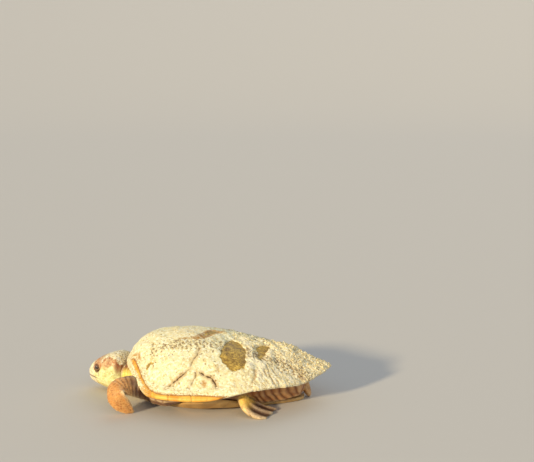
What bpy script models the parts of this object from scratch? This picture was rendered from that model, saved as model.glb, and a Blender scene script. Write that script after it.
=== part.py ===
"""A grown female loggerhead turtle at life size, crawling with her head to -X.

The frame is in metres: +X points to the tail, -Y to the turtle's left, and +Z up. The origin lies on
the midline of the belly, where it rests on the floor, below the middle of the shell.
The shell is made first. The body inside, the neck, head, limbs and tail are then fitted to it.
"""

import math

import bmesh
import bpy
import numpy as np
from mathutils import Matrix, Vector

# Driving sizes of the shell, in metres.
SHELL_FRONT_X = -0.460
SHELL_TAIL_X = 0.45
WIDEST_X = -0.06
HALF_WIDTH = 0.345
CREST = Vector((-0.235, 0.0, 0.303))
RIM_FRONT_Z = 0.163
RIM_SHOULDER_Z = 0.081  # the edge droops to its lowest over the shoulders
RIM_SIDE_Z = 0.084
RIM_HIP_Z = 0.125
RIM_TAIL_Z = 0.145
HIP_DIP = 0.011
MARGINAL_WIDTH = 0.05
SUPRACAUDAL_EXTRA = 0.022
MARGINAL_RISE = 0.042
SCUTE_THICKNESS = 0.012
SEAM = 0.0012  # the open seam between two scutes
FIT = 0.0005  # the gap between a piece and what it rests on

# Sizes of the head, along its own axis from the beak's tip.
HEAD_LENGTH = 0.206
HEAD_TIP = Vector((-0.646, 0.105, 0.008))
HEAD_YAW = math.radians(22)
EYE_RADIUS = 0.0165
EYE_BACK = 0.066
EYE_OUT = 0.0450
EYE_UP = 0.0985

UP = Vector((0, 0, 1))


def clear_scene():
    for thing in list(bpy.data.objects):
        bpy.data.objects.remove(thing)


def new_collection(name):
    made = bpy.data.collections.new(name)
    bpy.context.scene.collection.children.link(made)
    return made


def finish(name, colour, roughness):
    """A plain surface of one colour."""
    made = bpy.data.materials.new(name)
    made.use_nodes = True
    shader = made.node_tree.nodes["Principled BSDF"]
    shader.inputs["Base Color"].default_value = (*colour, 1)
    shader.inputs["Roughness"].default_value = roughness
    shader.inputs["Metallic"].default_value = 0
    return made


def add_object(name, bm, material, collection):
    """Puts a bmesh in the scene as one named object, with its faces pointing out."""
    bmesh.ops.recalc_face_normals(bm, faces=bm.faces[:])
    mesh = bpy.data.meshes.new(name)
    bm.to_mesh(mesh)
    bm.free()
    mesh.shade_smooth()
    mesh.set_sharp_from_angle(angle=math.radians(40))
    mesh.materials.append(material)
    made = bpy.data.objects.new(name, mesh)
    collection.objects.link(made)
    return made


def loft(rings):
    """A closed skin through rings of points, with a flat cap on each end."""
    bm = bmesh.new()
    rows = [[bm.verts.new(point) for point in ring] for ring in rings]
    count = len(rings[0])
    for near, far in zip(rows, rows[1:]):
        for i in range(count):
            j = (i + 1) % count
            bm.faces.new((near[i], near[j], far[j], far[i]))
    bm.faces.new(rows[0])
    bm.faces.new(rows[-1][::-1])
    bmesh.ops.triangulate(bm, faces=bm.faces[:])
    return bm


def cut_from(piece, cutter, clearance=FIT):
    """Cuts a slightly swollen copy of one piece, as it was before its own cuts, out of another."""
    swollen = cutter.copy()
    swollen.modifiers.clear()
    swollen.name = f"room_in_{piece.name}_for_{cutter.name}"
    cutters.objects.link(swollen)
    swollen.hide_render = True
    swollen.display_type = "WIRE"
    grow = swollen.modifiers.new("grow", "DISPLACE")
    grow.strength = clearance
    grow.mid_level = 0
    cut = piece.modifiers.new("cut", "BOOLEAN")
    cut.operation = "DIFFERENCE"
    cut.object = swollen


# --- The shell's own shape -------------------------------------------------------------------


def ease(value, low, high):
    """Rises smoothly from 0 at low to 1 at high."""
    share = min(max((value - low) / (high - low), 0.0), 1.0)
    return share * share * (3 - 2 * share)


def shell_edge(turn):
    """A point on the shell's outer edge. turn runs from 0 at the neck to pi at the tail, and is
    negative down the left side. Both halves of the outline are superellipses."""
    along, across = math.cos(turn), math.sin(abs(turn))
    if along >= 0:
        x = WIDEST_X - (WIDEST_X - SHELL_FRONT_X) * along**0.78
        y = HALF_WIDTH * across
    else:
        x = WIDEST_X + (SHELL_TAIL_X - WIDEST_X) * -along
        y = HALF_WIDTH * across**1.62
    z = RIM_SHOULDER_Z + (RIM_SIDE_Z - RIM_SHOULDER_Z) * ease(-along, -0.6, -0.1)
    z += (RIM_FRONT_Z - RIM_SHOULDER_Z) * ease(along, 0.60, 0.95)
    z += (RIM_HIP_Z - RIM_SIDE_Z) * ease(-along, -0.12, 0.42)
    z += (RIM_TAIL_Z - RIM_HIP_Z) * max(-along, 0.0) ** 9
    z -= HIP_DIP * math.exp(-(((along + 0.74) / 0.13) ** 2))
    return Vector((x, math.copysign(y, turn), z))


def inward_at(turn):
    """The level direction from the shell's edge towards its crest."""
    edge = shell_edge(turn)
    return Vector((CREST.x - edge.x, CREST.y - edge.y, 0)).normalized()


def marginal_width(turn):
    return MARGINAL_WIDTH + SUPRACAUDAL_EXTRA * max(0.0, -math.cos(turn)) ** 4


def marginal_rise(turn):
    """The marginals stand steepest over the neck and lie flattest over the tail."""
    along = math.cos(turn)
    return MARGINAL_RISE + (0.034 if along > 0 else -0.012) * along**2


def inner_edge(turn):
    """Where the marginal scutes meet the big scutes of the back."""
    point = shell_edge(turn) + inward_at(turn) * marginal_width(turn)
    return point + UP * marginal_rise(turn)


def inner_edge_table():
    """Bearing from the crest, reach and height of the inner edge, in rising order of bearing."""
    rows = []
    for turn in np.linspace(math.pi, 0, 181):
        p = inner_edge(turn)
        rows.append((math.atan2(abs(p.y), p.x - CREST.x), math.hypot(p.x - CREST.x, p.y), p.z))
    return np.array(rows).T


BEARINGS, REACHES, FEET = inner_edge_table()
FLARE = 0.965  # how far down the dome's own curve the inner edge lies
HEAP_X = 0.255  # the sand lies thickest over the hips
HEAP_HEIGHT = 0.011


def place_on_back(x, y):
    """Bearing of a point of the plan from the crest, its share of the way out, and the edge's height."""
    bearing = math.atan2(abs(y), x - CREST.x)
    share = min(math.hypot(x - CREST.x, y) / np.interp(bearing, BEARINGS, REACHES), 1.0)
    return bearing, share, np.interp(bearing, BEARINGS, FEET)


def dome_height(x, y):
    """Height of the back over a point of the plan: an arch from the inner edge to the crest."""
    bearing, share, foot = place_on_back(x, y)
    ahead, behind = max(-math.cos(bearing), 0.0) ** 2, max(math.cos(bearing), 0.0) ** 2
    arch = 0.70 - 0.12 * ahead + 0.05 * behind
    power = 2 - 0.25 * behind
    low = (1 - FLARE**power) ** arch
    rise = ((1 - (FLARE * share) ** power) ** arch - low) / (1 - low)
    heap = HEAP_HEIGHT * math.exp(-(((x - HEAP_X) / 0.065) ** 2) - (y / 0.11) ** 2)
    return float(foot + (CREST.z - foot) * rise + heap)


DRIFT_HEIGHT = 0.004
RIDGE_HEIGHT = 0.005


def sand_drift(x, y):
    """How far the sand stands above the smooth arch, or below it: low drifts over the hips, and one
    ridge down the left side. Both fade out towards the edge of the shell."""
    waves = math.sin(70 * x + 1.4 * math.sin(26 * y)) * math.sin(74 * y + 1.2 * math.sin(33 * x))
    ridge = math.exp(-(((x - 0.202 - 0.17 * y) / 0.020) ** 2)) * ease(-y, 0.01, 0.06)
    height = DRIFT_HEIGHT * ease(x, -0.20, 0.06) * waves + RIDGE_HEIGHT * ridge
    return height * (1 - ease(place_on_back(x, y)[1], 0.84, 0.97))


def dome_normal(x, y, step=0.004):
    slope_x = (dome_height(x + step, y) - dome_height(x - step, y)) / (2 * step)
    slope_y = (dome_height(x, y + step) - dome_height(x, y - step)) / (2 * step)
    return Vector((-slope_x, -slope_y, 1)).normalized()


def dome_point(x, y, depth=0.0):
    """A point of the back, or one that lies deeper along the surface's normal."""
    return Vector((x, y, dome_height(x, y))) - dome_normal(x, y) * depth


# Stations round one side of the shell: three over the nuchal scute, then three to each marginal.
NUCHAL_TURN = 0.25
MARGINALS = 12
STEPS_PER_MARGINAL = 3
SIDE_TURNS = np.linspace(NUCHAL_TURN, math.pi, MARGINALS * STEPS_PER_MARGINAL + 1)
ALL_TURNS = [NUCHAL_TURN * k / 3 for k in range(3)] + list(SIDE_TURNS)


# --- The scutes of the back -------------------------------------------------------------------
# Seams are drawn in plan. The vertebral scutes are six-sided, with a waist at each seam between
# two of them; the seams between costal scutes start at the vertebrals' widest corners.
VERTEBRAL_SEAMS = [-0.405, -0.272, -0.095, 0.073, 0.222]
WAISTS = [0.085, 0.070, 0.066, 0.060, 0.048]
CORNERS = [(-0.345, 0.112), (-0.183, 0.108), (-0.010, 0.103), (0.150, 0.092)]
TAIL_CORNER = (0.318, 0.150)
COSTAL_ENDS = [(-0.325, 0.40), (-0.150, 0.42), (0.030, 0.42), (0.215, 0.36)]
BACK_ROWS = 16


def back_sheet():
    """The back as one open sheet, in columns at the shell's own stations."""
    bm = bmesh.new()
    columns = len(ALL_TURNS) - 1
    bmesh.ops.create_grid(bm, x_segments=columns, y_segments=BACK_ROWS, size=1)
    for v in bm.verts:
        corner = inner_edge(ALL_TURNS[round((v.co.x + 1) / 2 * columns)])
        reach = max(abs(corner.y) - SEAM, 0.0)
        x, y = corner.x, v.co.y * reach
        v.co = (x, y, 0)
    bmesh.ops.remove_doubles(bm, verts=bm.verts[:], dist=0.0005)
    return bm


def add_scute(name, sides, material):
    """One scute: the sheet of the back cut along straight seams, then thickened inwards.
    Each side runs between two points of the plan, with the scute on its left."""
    bm = back_sheet()
    for start, end in sides:
        along = (Vector(end) - Vector(start)).normalized()
        outward = Vector((along.y, -along.x, 0))
        at = Vector((*start, 0)) - outward * (SEAM / 2)
        everything = bm.verts[:] + bm.edges[:] + bm.faces[:]
        bmesh.ops.bisect_plane(
            bm, geom=everything, dist=0.00001, plane_co=at, plane_no=outward, clear_outer=True
        )
    bmesh.ops.remove_doubles(bm, verts=bm.verts[:], dist=0.002)
    bmesh.ops.dissolve_degenerate(bm, edges=bm.edges[:], dist=0.0005)
    loose = [v for v in bm.verts if not v.link_faces]
    bmesh.ops.delete(bm, geom=loose, context="VERTS")
    thick = bmesh.ops.extrude_face_region(bm, geom=bm.faces[:])
    lower = {v for v in thick["geom"] if isinstance(v, bmesh.types.BMVert)}
    for v in bm.verts:
        x, y = v.co.x, v.co.y
        v.co = dome_point(x, y, SCUTE_THICKNESS) if v in lower else dome_point(x, y) + UP * sand_drift(x, y)
    bmesh.ops.triangulate(bm, faces=bm.faces[:])
    return add_object(name, bm, material, turtle)


def mirrored(sides):
    return [((b[0], -b[1]), (a[0], -a[1])) for a, b in sides]


def vertebral_sides(i):
    """The seams round vertebral scute i, with the scute on each seam's left."""
    x, waist = VERTEBRAL_SEAMS[i], WAISTS[i]
    sides = [((x, 1), (x, -1))] if i else []
    if i < 4:
        far_x, far_waist = VERTEBRAL_SEAMS[i + 1], WAISTS[i + 1]
        half = [((x, -waist), (CORNERS[i][0], -CORNERS[i][1]))]
        half.append(((CORNERS[i][0], -CORNERS[i][1]), (far_x, -far_waist)))
        sides.append(((far_x, -1), (far_x, 1)))
    else:
        half = [((x, -waist), (TAIL_CORNER[0], -TAIL_CORNER[1]))]
    return sides + half + mirrored(half)


def costal_sides(i):
    """The seams round costal scute i of the right side."""
    sides = []
    if i:
        corner, end = CORNERS[i - 1], COSTAL_ENDS[i - 1]
        sides.append((end, corner))
        sides.append((corner, (VERTEBRAL_SEAMS[i], WAISTS[i])))
    if i < 4:
        corner, end = CORNERS[i], COSTAL_ENDS[i]
        sides.append(((VERTEBRAL_SEAMS[i], WAISTS[i]), corner))
        sides.append((corner, end))
    else:
        sides.append(((VERTEBRAL_SEAMS[i], WAISTS[i]), TAIL_CORNER))
    return sides


def add_back():
    for i in range(5):
        add_scute(f"vertebral_scute_{i + 1}", vertebral_sides(i), sandy_scute)
        add_scute(f"costal_scute_right_{i + 1}", costal_sides(i), sandy_scute)
        add_scute(f"costal_scute_left_{i + 1}", mirrored(costal_sides(i)), sandy_scute)


# --- The marginal scutes ----------------------------------------------------------------------


def rim_section(turn, notch):
    """The cross-section of the shell's edge, a wedge that is thick where it meets the back."""
    edge, inward, width = shell_edge(turn), inward_at(turn), marginal_width(turn)
    back, rise = width - SEAM, marginal_rise(turn)

    def at(distance, height):
        return edge + inward * distance + UP * height

    return [
        at(back, rise),
        at(0.50 * width, 0.66 * rise),
        at(0.12 * width + notch, 0.28 * rise),
        at(notch, 0.003),
        at(0.08 * width + notch, -0.006),
        at(0.50 * width, -0.011),
        at(back, -0.006),
    ]


def edge_notch(step, turn):
    """How far the edge is nicked at this station: at each seam, and most towards the tail."""
    if step % STEPS_PER_MARGINAL:
        return 0.0
    return 0.0015 + 0.0055 * max(0.0, -math.cos(turn))


def add_rim():
    for side, sign in (("left", -1), ("right", 1)):
        rings = []
        for step, turn in enumerate(SIDE_TURNS):
            notch = edge_notch(step, turn)
            ring = rim_section(turn * sign, notch)
            if step == 0:
                ring = [p + Vector((0.0006, sign * 0.0004, 0)) for p in ring]
            if step == len(SIDE_TURNS) - 1:
                ring = [Vector((p.x, sign * FIT, p.z)) for p in ring]
            rings.append(ring)
        add_object(f"marginal_scutes_{side}", loft(rings), bare_horn, turtle)
    reach = NUCHAL_TURN - 0.004
    turns = [reach * k / 3 for k in range(-3, 4)]
    rings = [rim_section(turn, 0.004 * math.cos(3 * turn) ** 2) for turn in turns]
    add_object("nuchal_scute", loft(rings), sandy_scute, turtle)


# --- The plastron and its bridges ---------------------------------------------------------------
PLASTRON_FRONT_X = -0.365
PLASTRON_TAIL_X = 0.325
PLASTRON_STATIONS = 15
PLASTRON_THICKNESS = 0.016


def plastron_half_width(x):
    """Half the width of the flat that lies on the floor: two rounded lobes."""
    share = min(max((x - PLASTRON_FRONT_X) / (PLASTRON_TAIL_X - PLASTRON_FRONT_X), 0), 1)
    return 0.030 + 0.172 * math.sin(math.pi * share**0.85) ** 0.6 * (1.06 - 0.36 * share)


def bridge_share(x):
    """1 amidships, where the plastron is joined to the edge of the shell, and 0 at the lobes."""
    return max(0.0, 1 - ((x + 0.080) / 0.145) ** 2) ** 0.6


def rim_underside(x):
    """How far out and how high the bridge meets the marginal scutes at this station."""
    turn = min(SIDE_TURNS, key=lambda t: abs(inner_edge(t).x - x))
    inner = inner_edge(turn)
    return inner.y + 0.004, inner.z - marginal_rise(turn) - 0.0125


def plastron_section(x):
    flat = plastron_half_width(x)
    join = bridge_share(x)
    meet_y, meet_z = rim_underside(x)
    out_y = flat + 0.012 + (meet_y - flat - 0.012) * join
    out_z = 0.010 + (meet_z - 0.012 - 0.010) * join
    middle_y, middle_z = (flat + out_y) / 2, 0.30 * out_z
    t = PLASTRON_THICKNESS
    half = [
        (flat, 0.0),
        (middle_y + 0.002, middle_z),
        (out_y, out_z),
        (out_y - 0.002, out_z + 0.6 * t),
        (middle_y - 0.008, 0.9 * t + 0.3 * (out_z - 0.010)),
        (flat - 0.02, t),
    ]
    right = [Vector((x, y, z)) for y, z in half]
    left = [Vector((x, -y, z)) for y, z in reversed(half)]
    return right + left


def add_plastron():
    turns = np.linspace(0, math.pi, PLASTRON_STATIONS)
    middle = (PLASTRON_FRONT_X + PLASTRON_TAIL_X) / 2
    half = (PLASTRON_TAIL_X - PLASTRON_FRONT_X) / 2
    rings = [plastron_section(middle - half * math.cos(t)) for t in turns]
    add_object("plastron", loft(rings), belly_horn, turtle)


# --- The trunk inside the shell ----------------------------------------------------------------
TRUNK_FRONT_X = -0.392
TRUNK_TAIL_X = 0.306
TOP_SHARES = np.linspace(-0.96, 0.96, 13)


def trunk_section(x):
    """Follows the inside of the back above, bulges under the edge of the shell at the shoulder and
    the groin, and meets the plastron below. Amidships it stays above the bridges."""
    turn = min(ALL_TURNS, key=lambda t: abs(inner_edge(t).x - x))
    inner_y, edge_z = inner_edge(turn).y, shell_edge(turn).z
    reach = inner_y - 0.006
    ring = [dome_point(x, share * reach, SCUTE_THICKNESS + 0.0045) for share in TOP_SHARES]
    flat = min(plastron_half_width(x), 0.8 * reach)
    belly_y, floor_z = 0.72 * flat, PLASTRON_THICKNESS + 0.0015
    shoulder = 1.0 if x < -0.2 else 0.0
    free = [
        (inner_y - 0.010, edge_z - 0.013),
        ((0.90 + 0.12 * shoulder) * inner_y, 0.62 * edge_z),
        ((0.74 + 0.13 * shoulder) * inner_y, 0.27 * edge_z),
        (flat + 0.006, floor_z + 0.003),
    ]
    bridged = [
        (inner_y - 0.012, edge_z - 0.009),
        (0.80 * inner_y + 0.20 * flat, 0.62 * edge_z + 0.20 * floor_z + 0.004),
        (0.45 * inner_y + 0.55 * flat - 0.016, 0.28 * edge_z + 0.62 * floor_z + 0.007),
        (belly_y, floor_z),
    ]
    share = min(1.6 * bridge_share(x), 1.0)
    low = [Vector(a).lerp(Vector(b), share) for a, b in zip(free, bridged)]
    right = [Vector((x, *p)) for p in low]
    left = [Vector((x, -p.x, p.y)) for p in reversed(low)]
    return ring + right + left


def end_section(x, half_width, top, bottom):
    """Past both ends of the plastron the skin rounds in under the edge of the shell."""
    ring = [Vector((x, s * half_width, top - 0.030 * s**4)) for s in TOP_SHARES]
    low = [(1.0, 0.66), (0.98, 0.44), (0.86, 0.18), (0.55, 0.0)]
    right = [Vector((x, y * half_width, bottom + z * (top - bottom))) for y, z in low]
    left = [Vector((p.x, -p.y, p.z)) for p in reversed(right)]
    return ring + right + left


def add_trunk():
    inner_xs = [inner_edge(t).x for t in ALL_TURNS]
    chosen = [x for x in inner_xs[2::3] if -0.362 < x < TRUNK_TAIL_X - 0.02]
    rings = [
        end_section(TRUNK_FRONT_X, 0.140, 0.142, 0.022),
        end_section(TRUNK_FRONT_X + 0.014, 0.180, 0.140, 0.019),
    ]
    rings += [trunk_section(x) for x in chosen]
    rings += [
        end_section(TRUNK_TAIL_X, 0.120, 0.111, 0.030),
        end_section(TRUNK_TAIL_X + 0.018, 0.070, 0.108, 0.048),
    ]
    trunk = add_object("trunk", loft(rings), shaded_skin, turtle)
    for horn in ("marginal_scutes_left", "marginal_scutes_right", "plastron"):
        cut_from(trunk, turtle.objects[horn])


# --- Head, jaw, beak and eyes --------------------------------------------------------------------


def head_frame():
    """Turns the head's own axes, +X back from the beak's tip, into the turtle's."""
    return Matrix.Translation(HEAD_TIP) @ Matrix.Rotation(-HEAD_YAW, 4, "Z")


# Distance back from the beak's tip, half width, top and bottom.
HEAD_SECTIONS = [
    (0.000, 0.013, 0.080, 0.046),
    (0.006, 0.028, 0.097, 0.033),
    (0.020, 0.039, 0.112, 0.023),
    (0.042, 0.049, 0.128, 0.015),
    (0.066, 0.060, 0.142, 0.009),
    (0.092, 0.072, 0.155, 0.004),
    (0.122, 0.083, 0.167, 0.001),
    (0.150, 0.089, 0.174, 0.001),
    (0.172, 0.087, 0.170, 0.004),
    (0.190, 0.078, 0.150, 0.010),
    (HEAD_LENGTH, 0.068, 0.128, 0.018),
]
HEAD_POINTS = 20


def oval(half_width, top, bottom, square=0.82):
    """A rounded box section in the YZ plane."""
    centre, half_height = (top + bottom) / 2, (top - bottom) / 2
    ring = []
    for k in range(HEAD_POINTS):
        a = 2 * math.pi * k / HEAD_POINTS
        c, s = math.cos(a), math.sin(a)
        y = half_width * math.copysign(abs(c) ** square, c)
        z = centre + half_height * math.copysign(abs(s) ** square, s)
        ring.append((y, z))
    return ring


def add_box_cutter(name, low, high, frame, pitch=0.0):
    """A box in the head's own axes, tilted about its near edge."""
    bm = bmesh.new()
    bmesh.ops.create_cube(bm, size=1)
    low, high = Vector(low), Vector(high)
    for v in bm.verts:
        v.co = low + Vector((v.co[i] + 0.5) * (high[i] - low[i]) for i in range(3))
    made = add_object(name, bm, warm_skin, cutters)
    made.matrix_world = frame @ Matrix.Rotation(pitch, 4, "Y")
    made.hide_render = True
    made.display_type = "WIRE"
    return made


def boolean(piece, cutter, operation):
    made = piece.modifiers.new(operation.lower(), "BOOLEAN")
    made.operation = operation
    made.object = cutter


MOUTH_HEIGHT = 0.056
MOUTH_BACK = 0.108
MOUTH_PITCH = math.radians(3)
BEAK_BACK = 0.042
LOWER_BEAK_BACK = 0.056
BEAK_TOP = 0.084


def add_head():
    """One loft of the whole head, parted along the mouth and round the horn of the beak."""
    frame = head_frame()
    sections = [[(s, y, z) for y, z in oval(w, top, low)] for s, w, top, low in HEAD_SECTIONS]
    rings = [[frame @ Vector(p) for p in ring] for ring in sections]
    lip, side = MOUTH_HEIGHT - FIT, 0.2
    parts = {
        "head": (warm_skin, None),
        "upper_beak": (bare_horn, ((-0.1, -side, MOUTH_HEIGHT), (BEAK_BACK, side, BEAK_TOP))),
        "lower_beak": (bare_horn, ((-0.1, -side, -0.1), (LOWER_BEAK_BACK, side, lip))),
        "lower_jaw": (warm_skin, ((LOWER_BEAK_BACK + FIT, -side, -0.1), (MOUTH_BACK, side, lip))),
    }
    pieces = {name: add_object(name, loft(rings), plan[0], turtle) for name, plan in parts.items()}
    for name, (_, block) in parts.items():
        if block:
            low, high = block
            keep = add_box_cutter(f"{name}_block", low, high, frame, MOUTH_PITCH)
            boolean(pieces[name], keep, "INTERSECT")
    beak_room = (BEAK_BACK + FIT, side, BEAK_TOP + FIT)
    jaw_room = (MOUTH_BACK + FIT, side, MOUTH_HEIGHT)
    for name, high in (("beak_room", beak_room), ("jaw_room", jaw_room)):
        room = add_box_cutter(name, (-0.15, -side, -0.15), high, frame, MOUTH_PITCH)
        boolean(pieces["head"], room, "DIFFERENCE")
    for side, sign in (("left", -1), ("right", 1)):
        bm = bmesh.new()
        bmesh.ops.create_uvsphere(bm, u_segments=12, v_segments=8, radius=EYE_RADIUS)
        centre = frame @ Vector((EYE_BACK, sign * EYE_OUT, EYE_UP))
        bmesh.ops.translate(bm, verts=bm.verts[:], vec=centre)
        eye = add_object(f"eye_{side}", bm, dark_eye, turtle)
        cut_from(pieces["head"], eye, 2 * FIT)


def add_neck():
    """Runs from the back of the head to the front of the trunk."""
    frame = head_frame()
    start = [frame @ Vector((HEAD_LENGTH + FIT, y, z)) for y, z in oval(0.068, 0.128, 0.018)]
    end_x = TRUNK_FRONT_X - 0.0006
    end = [Vector((end_x, y, z)) for y, z in oval(0.086, 0.143, 0.028)]
    rings = []
    for share in (0, 0.25, 0.5, 0.75, 1):
        swell = 1 + 0.05 * math.sin(math.pi * share)
        ring = [a.lerp(b, share) for a, b in zip(start, end)]
        middle = sum(ring, Vector()) / len(ring)
        rings.append([middle + (p - middle) * swell for p in ring])
    return add_object("neck", loft(rings), warm_skin, turtle)


# --- Limbs and tail -------------------------------------------------------------------------------
# Each limb follows a cubic Bezier curve. The knots give the width and thickness of its sections
# along the curve, and the leads point to its leading edge at the root, the middle and the tip.
LIMB_POINTS = 12
FRONT_WIDTHS = [(0, 0.110), (0.2, 0.094), (0.42, 0.104), (0.62, 0.110), (0.8, 0.088), (0.93, 0.048)]
FRONT_WIDTHS.append((1, 0.016))
FRONT_THICKS = [(0, 0.072), (0.2, 0.054), (0.42, 0.040), (0.62, 0.027), (0.8, 0.019), (1, 0.010)]
HIND_WIDTHS = [(0, 0.100), (0.3, 0.086), (0.55, 0.078), (0.78, 0.120), (0.93, 0.142), (1, 0.128)]
HIND_THICKS = [(0, 0.074), (0.3, 0.058), (0.55, 0.038), (0.78, 0.022), (1, 0.011)]
ELBOW = 0.36
KNEE = 0.52
FRONT_CLAW = (0.60, 0.017)  # how far along the limb, and how long
HIND_CLAW = (0.80, 0.013)
CLAW_RADIUS = 0.0042

FRONT_LIMBS = {
    "left": (
        [(-0.33, -0.165, 0.075), (-0.52, -0.29, 0.160), (-0.47, -0.32, 0.068), (-0.392, -0.262, 0.003)],
        [(-0.4, 0.1, 0.9), (-0.55, 0.55, -0.15), (-0.80, -0.10, -0.50)],
    ),
    "right": (
        [(-0.325, 0.165, 0.085), (-0.47, 0.33, 0.120), (-0.27, 0.45, 0.012), (-0.09, 0.505, 0.004)],
        [(-0.8, 0.2, 0.5), (-0.6, 0.8, 0), (-0.3, 1, 0)],
    ),
}
HIND_LIMBS = {
    "left": (
        [(0.15, -0.13, 0.075), (0.045, -0.235, 0.110), (0.062, -0.272, 0.023), (0.193, -0.25, 0.004)],
        [(-0.9, -0.4, 0), (-0.6, -0.8, 0), (-0.5, -0.87, 0)],
    ),
    "right": (
        [(0.15, 0.13, 0.075), (0.09, 0.25, 0.105), (0.165, 0.30, 0.018), (0.31, 0.27, 0.004)],
        [(-0.9, 0.4, 0), (-0.6, 0.8, 0), (-0.3, 0.95, 0)],
    ),
}


def curve_point(bones, share):
    """A point of the curve through the limb's root, its two bends and its tip."""
    a, b, c, d = bones
    rest = 1 - share
    return a * rest**3 + b * 3 * rest**2 * share + c * 3 * rest * share**2 + d * share**3


def profile(knots, share):
    shares, values = zip(*knots)
    return float(np.interp(share, shares, values))


def limb_axes(bones, leads, share, square):
    """The way along the limb, towards its leading edge, and through its thickness. When square is
    below 1 the section keeps some of its slant, as at the end of a spread foot."""
    forward = curve_point(bones, min(share + 0.01, 1)) - curve_point(bones, max(share - 0.01, 0))
    forward.normalize()
    half = int(share >= 0.5)
    lead = leads[half].lerp(leads[half + 1], 2 * share - half)
    lead = (lead - forward * lead.dot(forward) * square).normalized()
    return forward, lead, forward.cross(lead).normalized()


def limb_ring(bones, leads, share, widths, thicks, square):
    """One section of a limb: a flat oval with its thicker edge leading. Nothing dips under the
    floor, so a limb that lies on it has a small flat there."""
    _, lead, normal = limb_axes(bones, leads, share, square)
    centre = curve_point(bones, share)
    half_width, half_thick = profile(widths, share) / 2, profile(thicks, share) / 2
    ring = []
    for k in range(LIMB_POINTS):
        a = 2 * math.pi * k / LIMB_POINTS
        blunt = 1 + 0.45 * math.cos(a)
        point = centre + lead * (half_width * math.cos(a))
        point += normal * (half_thick * math.sin(a) * blunt)
        point.z = max(point.z, 0)
        ring.append(point)
    return ring


def limb(name, plan, shares, widths, thicks, square=1.0):
    bones, leads = ([Vector(v) for v in row] for row in plan)
    rings = [limb_ring(bones, leads, s, widths, thicks, square) for s in shares]
    return add_object(name, loft(rings), tan_skin, turtle)


def split_limb(names, plan, widths, thicks, split, square):
    """The two pieces of one limb, parted by a thin gap across it."""
    gap = 0.0022
    upper, lower = np.linspace(0, split - gap / 2, 6), np.linspace(split + gap / 2, 1, 11)
    return (
        limb(names[0], plan, upper, widths, thicks, square),
        limb(names[1], plan, lower, widths, thicks, square),
    )


def add_claw(name, plan, foot, widths, square, claw):
    """A small cone set in the leading edge, pointing out along the limb."""
    share, length = claw
    bones, leads = ([Vector(v) for v in row] for row in plan)
    forward, lead, _ = limb_axes(bones, leads, share, square)
    root = curve_point(bones, share) + lead * (profile(widths, share) / 2 - 0.005)
    out = (lead * 0.7 + forward * 0.7).normalized()
    turned = Vector((0, 0, 1)).rotation_difference(out).to_matrix().to_4x4()
    bm = bmesh.new()
    bmesh.ops.create_cone(
        bm, cap_ends=True, segments=8, radius1=CLAW_RADIUS, radius2=0.0008, depth=length,
        matrix=Matrix.Translation(root + out * (length / 2)) @ turned,
    )
    for v in bm.verts:
        v.co.z = max(v.co.z, 0.0005)
    bmesh.ops.triangulate(bm, faces=bm.faces[:])
    cut_from(foot, add_object(name, bm, bare_horn, turtle))


def seat(limb_root):
    """Cuts away what lies inside the body, the edge of the shell and the plastron."""
    side = limb_root.name.rsplit("_", 1)[1]
    for name in ("trunk", f"marginal_scutes_{side}", "plastron"):
        cut_from(limb_root, turtle.objects[name])


def add_limbs():
    for side in ("left", "right"):
        names = (f"upper_arm_{side}", f"front_flipper_{side}")
        plan = FRONT_LIMBS[side]
        arm, flipper = split_limb(names, plan, FRONT_WIDTHS, FRONT_THICKS, ELBOW, 1.0)
        seat(arm)
        add_claw(f"front_claw_{side}", plan, flipper, FRONT_WIDTHS, 1.0, FRONT_CLAW)
        names = (f"thigh_{side}", f"hind_flipper_{side}")
        plan = HIND_LIMBS[side]
        thigh, foot = split_limb(names, plan, HIND_WIDTHS, HIND_THICKS, KNEE, 0.35)
        seat(thigh)
        add_claw(f"hind_claw_{side}", plan, foot, HIND_WIDTHS, 0.35, HIND_CLAW)


def add_tail():
    bones = [(0.272, 0, 0.076), (0.312, 0, 0.084), (0.332, 0, 0.045), (0.349, 0, 0.003)]
    widths = [(0, 0.100), (0.4, 0.070), (0.8, 0.040), (1, 0.020)]
    thicks = [(0, 0.080), (0.4, 0.056), (0.8, 0.032), (1, 0.017)]
    tail = limb("tail", (bones, [(0, 1, 0)] * 3), np.linspace(0, 1, 9), widths, thicks)
    cut_from(tail, turtle.objects["trunk"])


clear_scene()
turtle = new_collection("loggerhead_turtle")
cutters = new_collection("cutters")
sandy_scute = finish("sandy_scute", (0.80, 0.70, 0.47), 0.9)
bare_horn = finish("bare_horn", (0.72, 0.42, 0.13), 0.45)
belly_horn = finish("belly_horn", (0.80, 0.66, 0.36), 0.5)
warm_skin = finish("warm_skin", (0.78, 0.66, 0.30), 0.5)
tan_skin = finish("tan_skin", (0.62, 0.33, 0.12), 0.55)
shaded_skin = finish("shaded_skin", (0.34, 0.22, 0.14), 0.6)
dark_eye = finish("dark_eye", (0.03, 0.02, 0.01), 0.1)

add_back()
add_rim()
add_plastron()
add_trunk()
add_head()
add_neck()
add_limbs()
add_tail()
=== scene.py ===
"""The looks of a life-size model of a loggerhead turtle with wet sand stuck to her shell.

The pieces are made in the order in which the animal is put together: shell, skin, eyes, beak and
claws, then the sand. All of them are in metres, in the frame's own axes, with the head to -X.
"""

import math
import random

import bmesh
import bpy
import numpy as np
from mathutils import Matrix, Vector, noise
from mathutils.bvhtree import BVHTree
from mathutils.kdtree import KDTree


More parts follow.
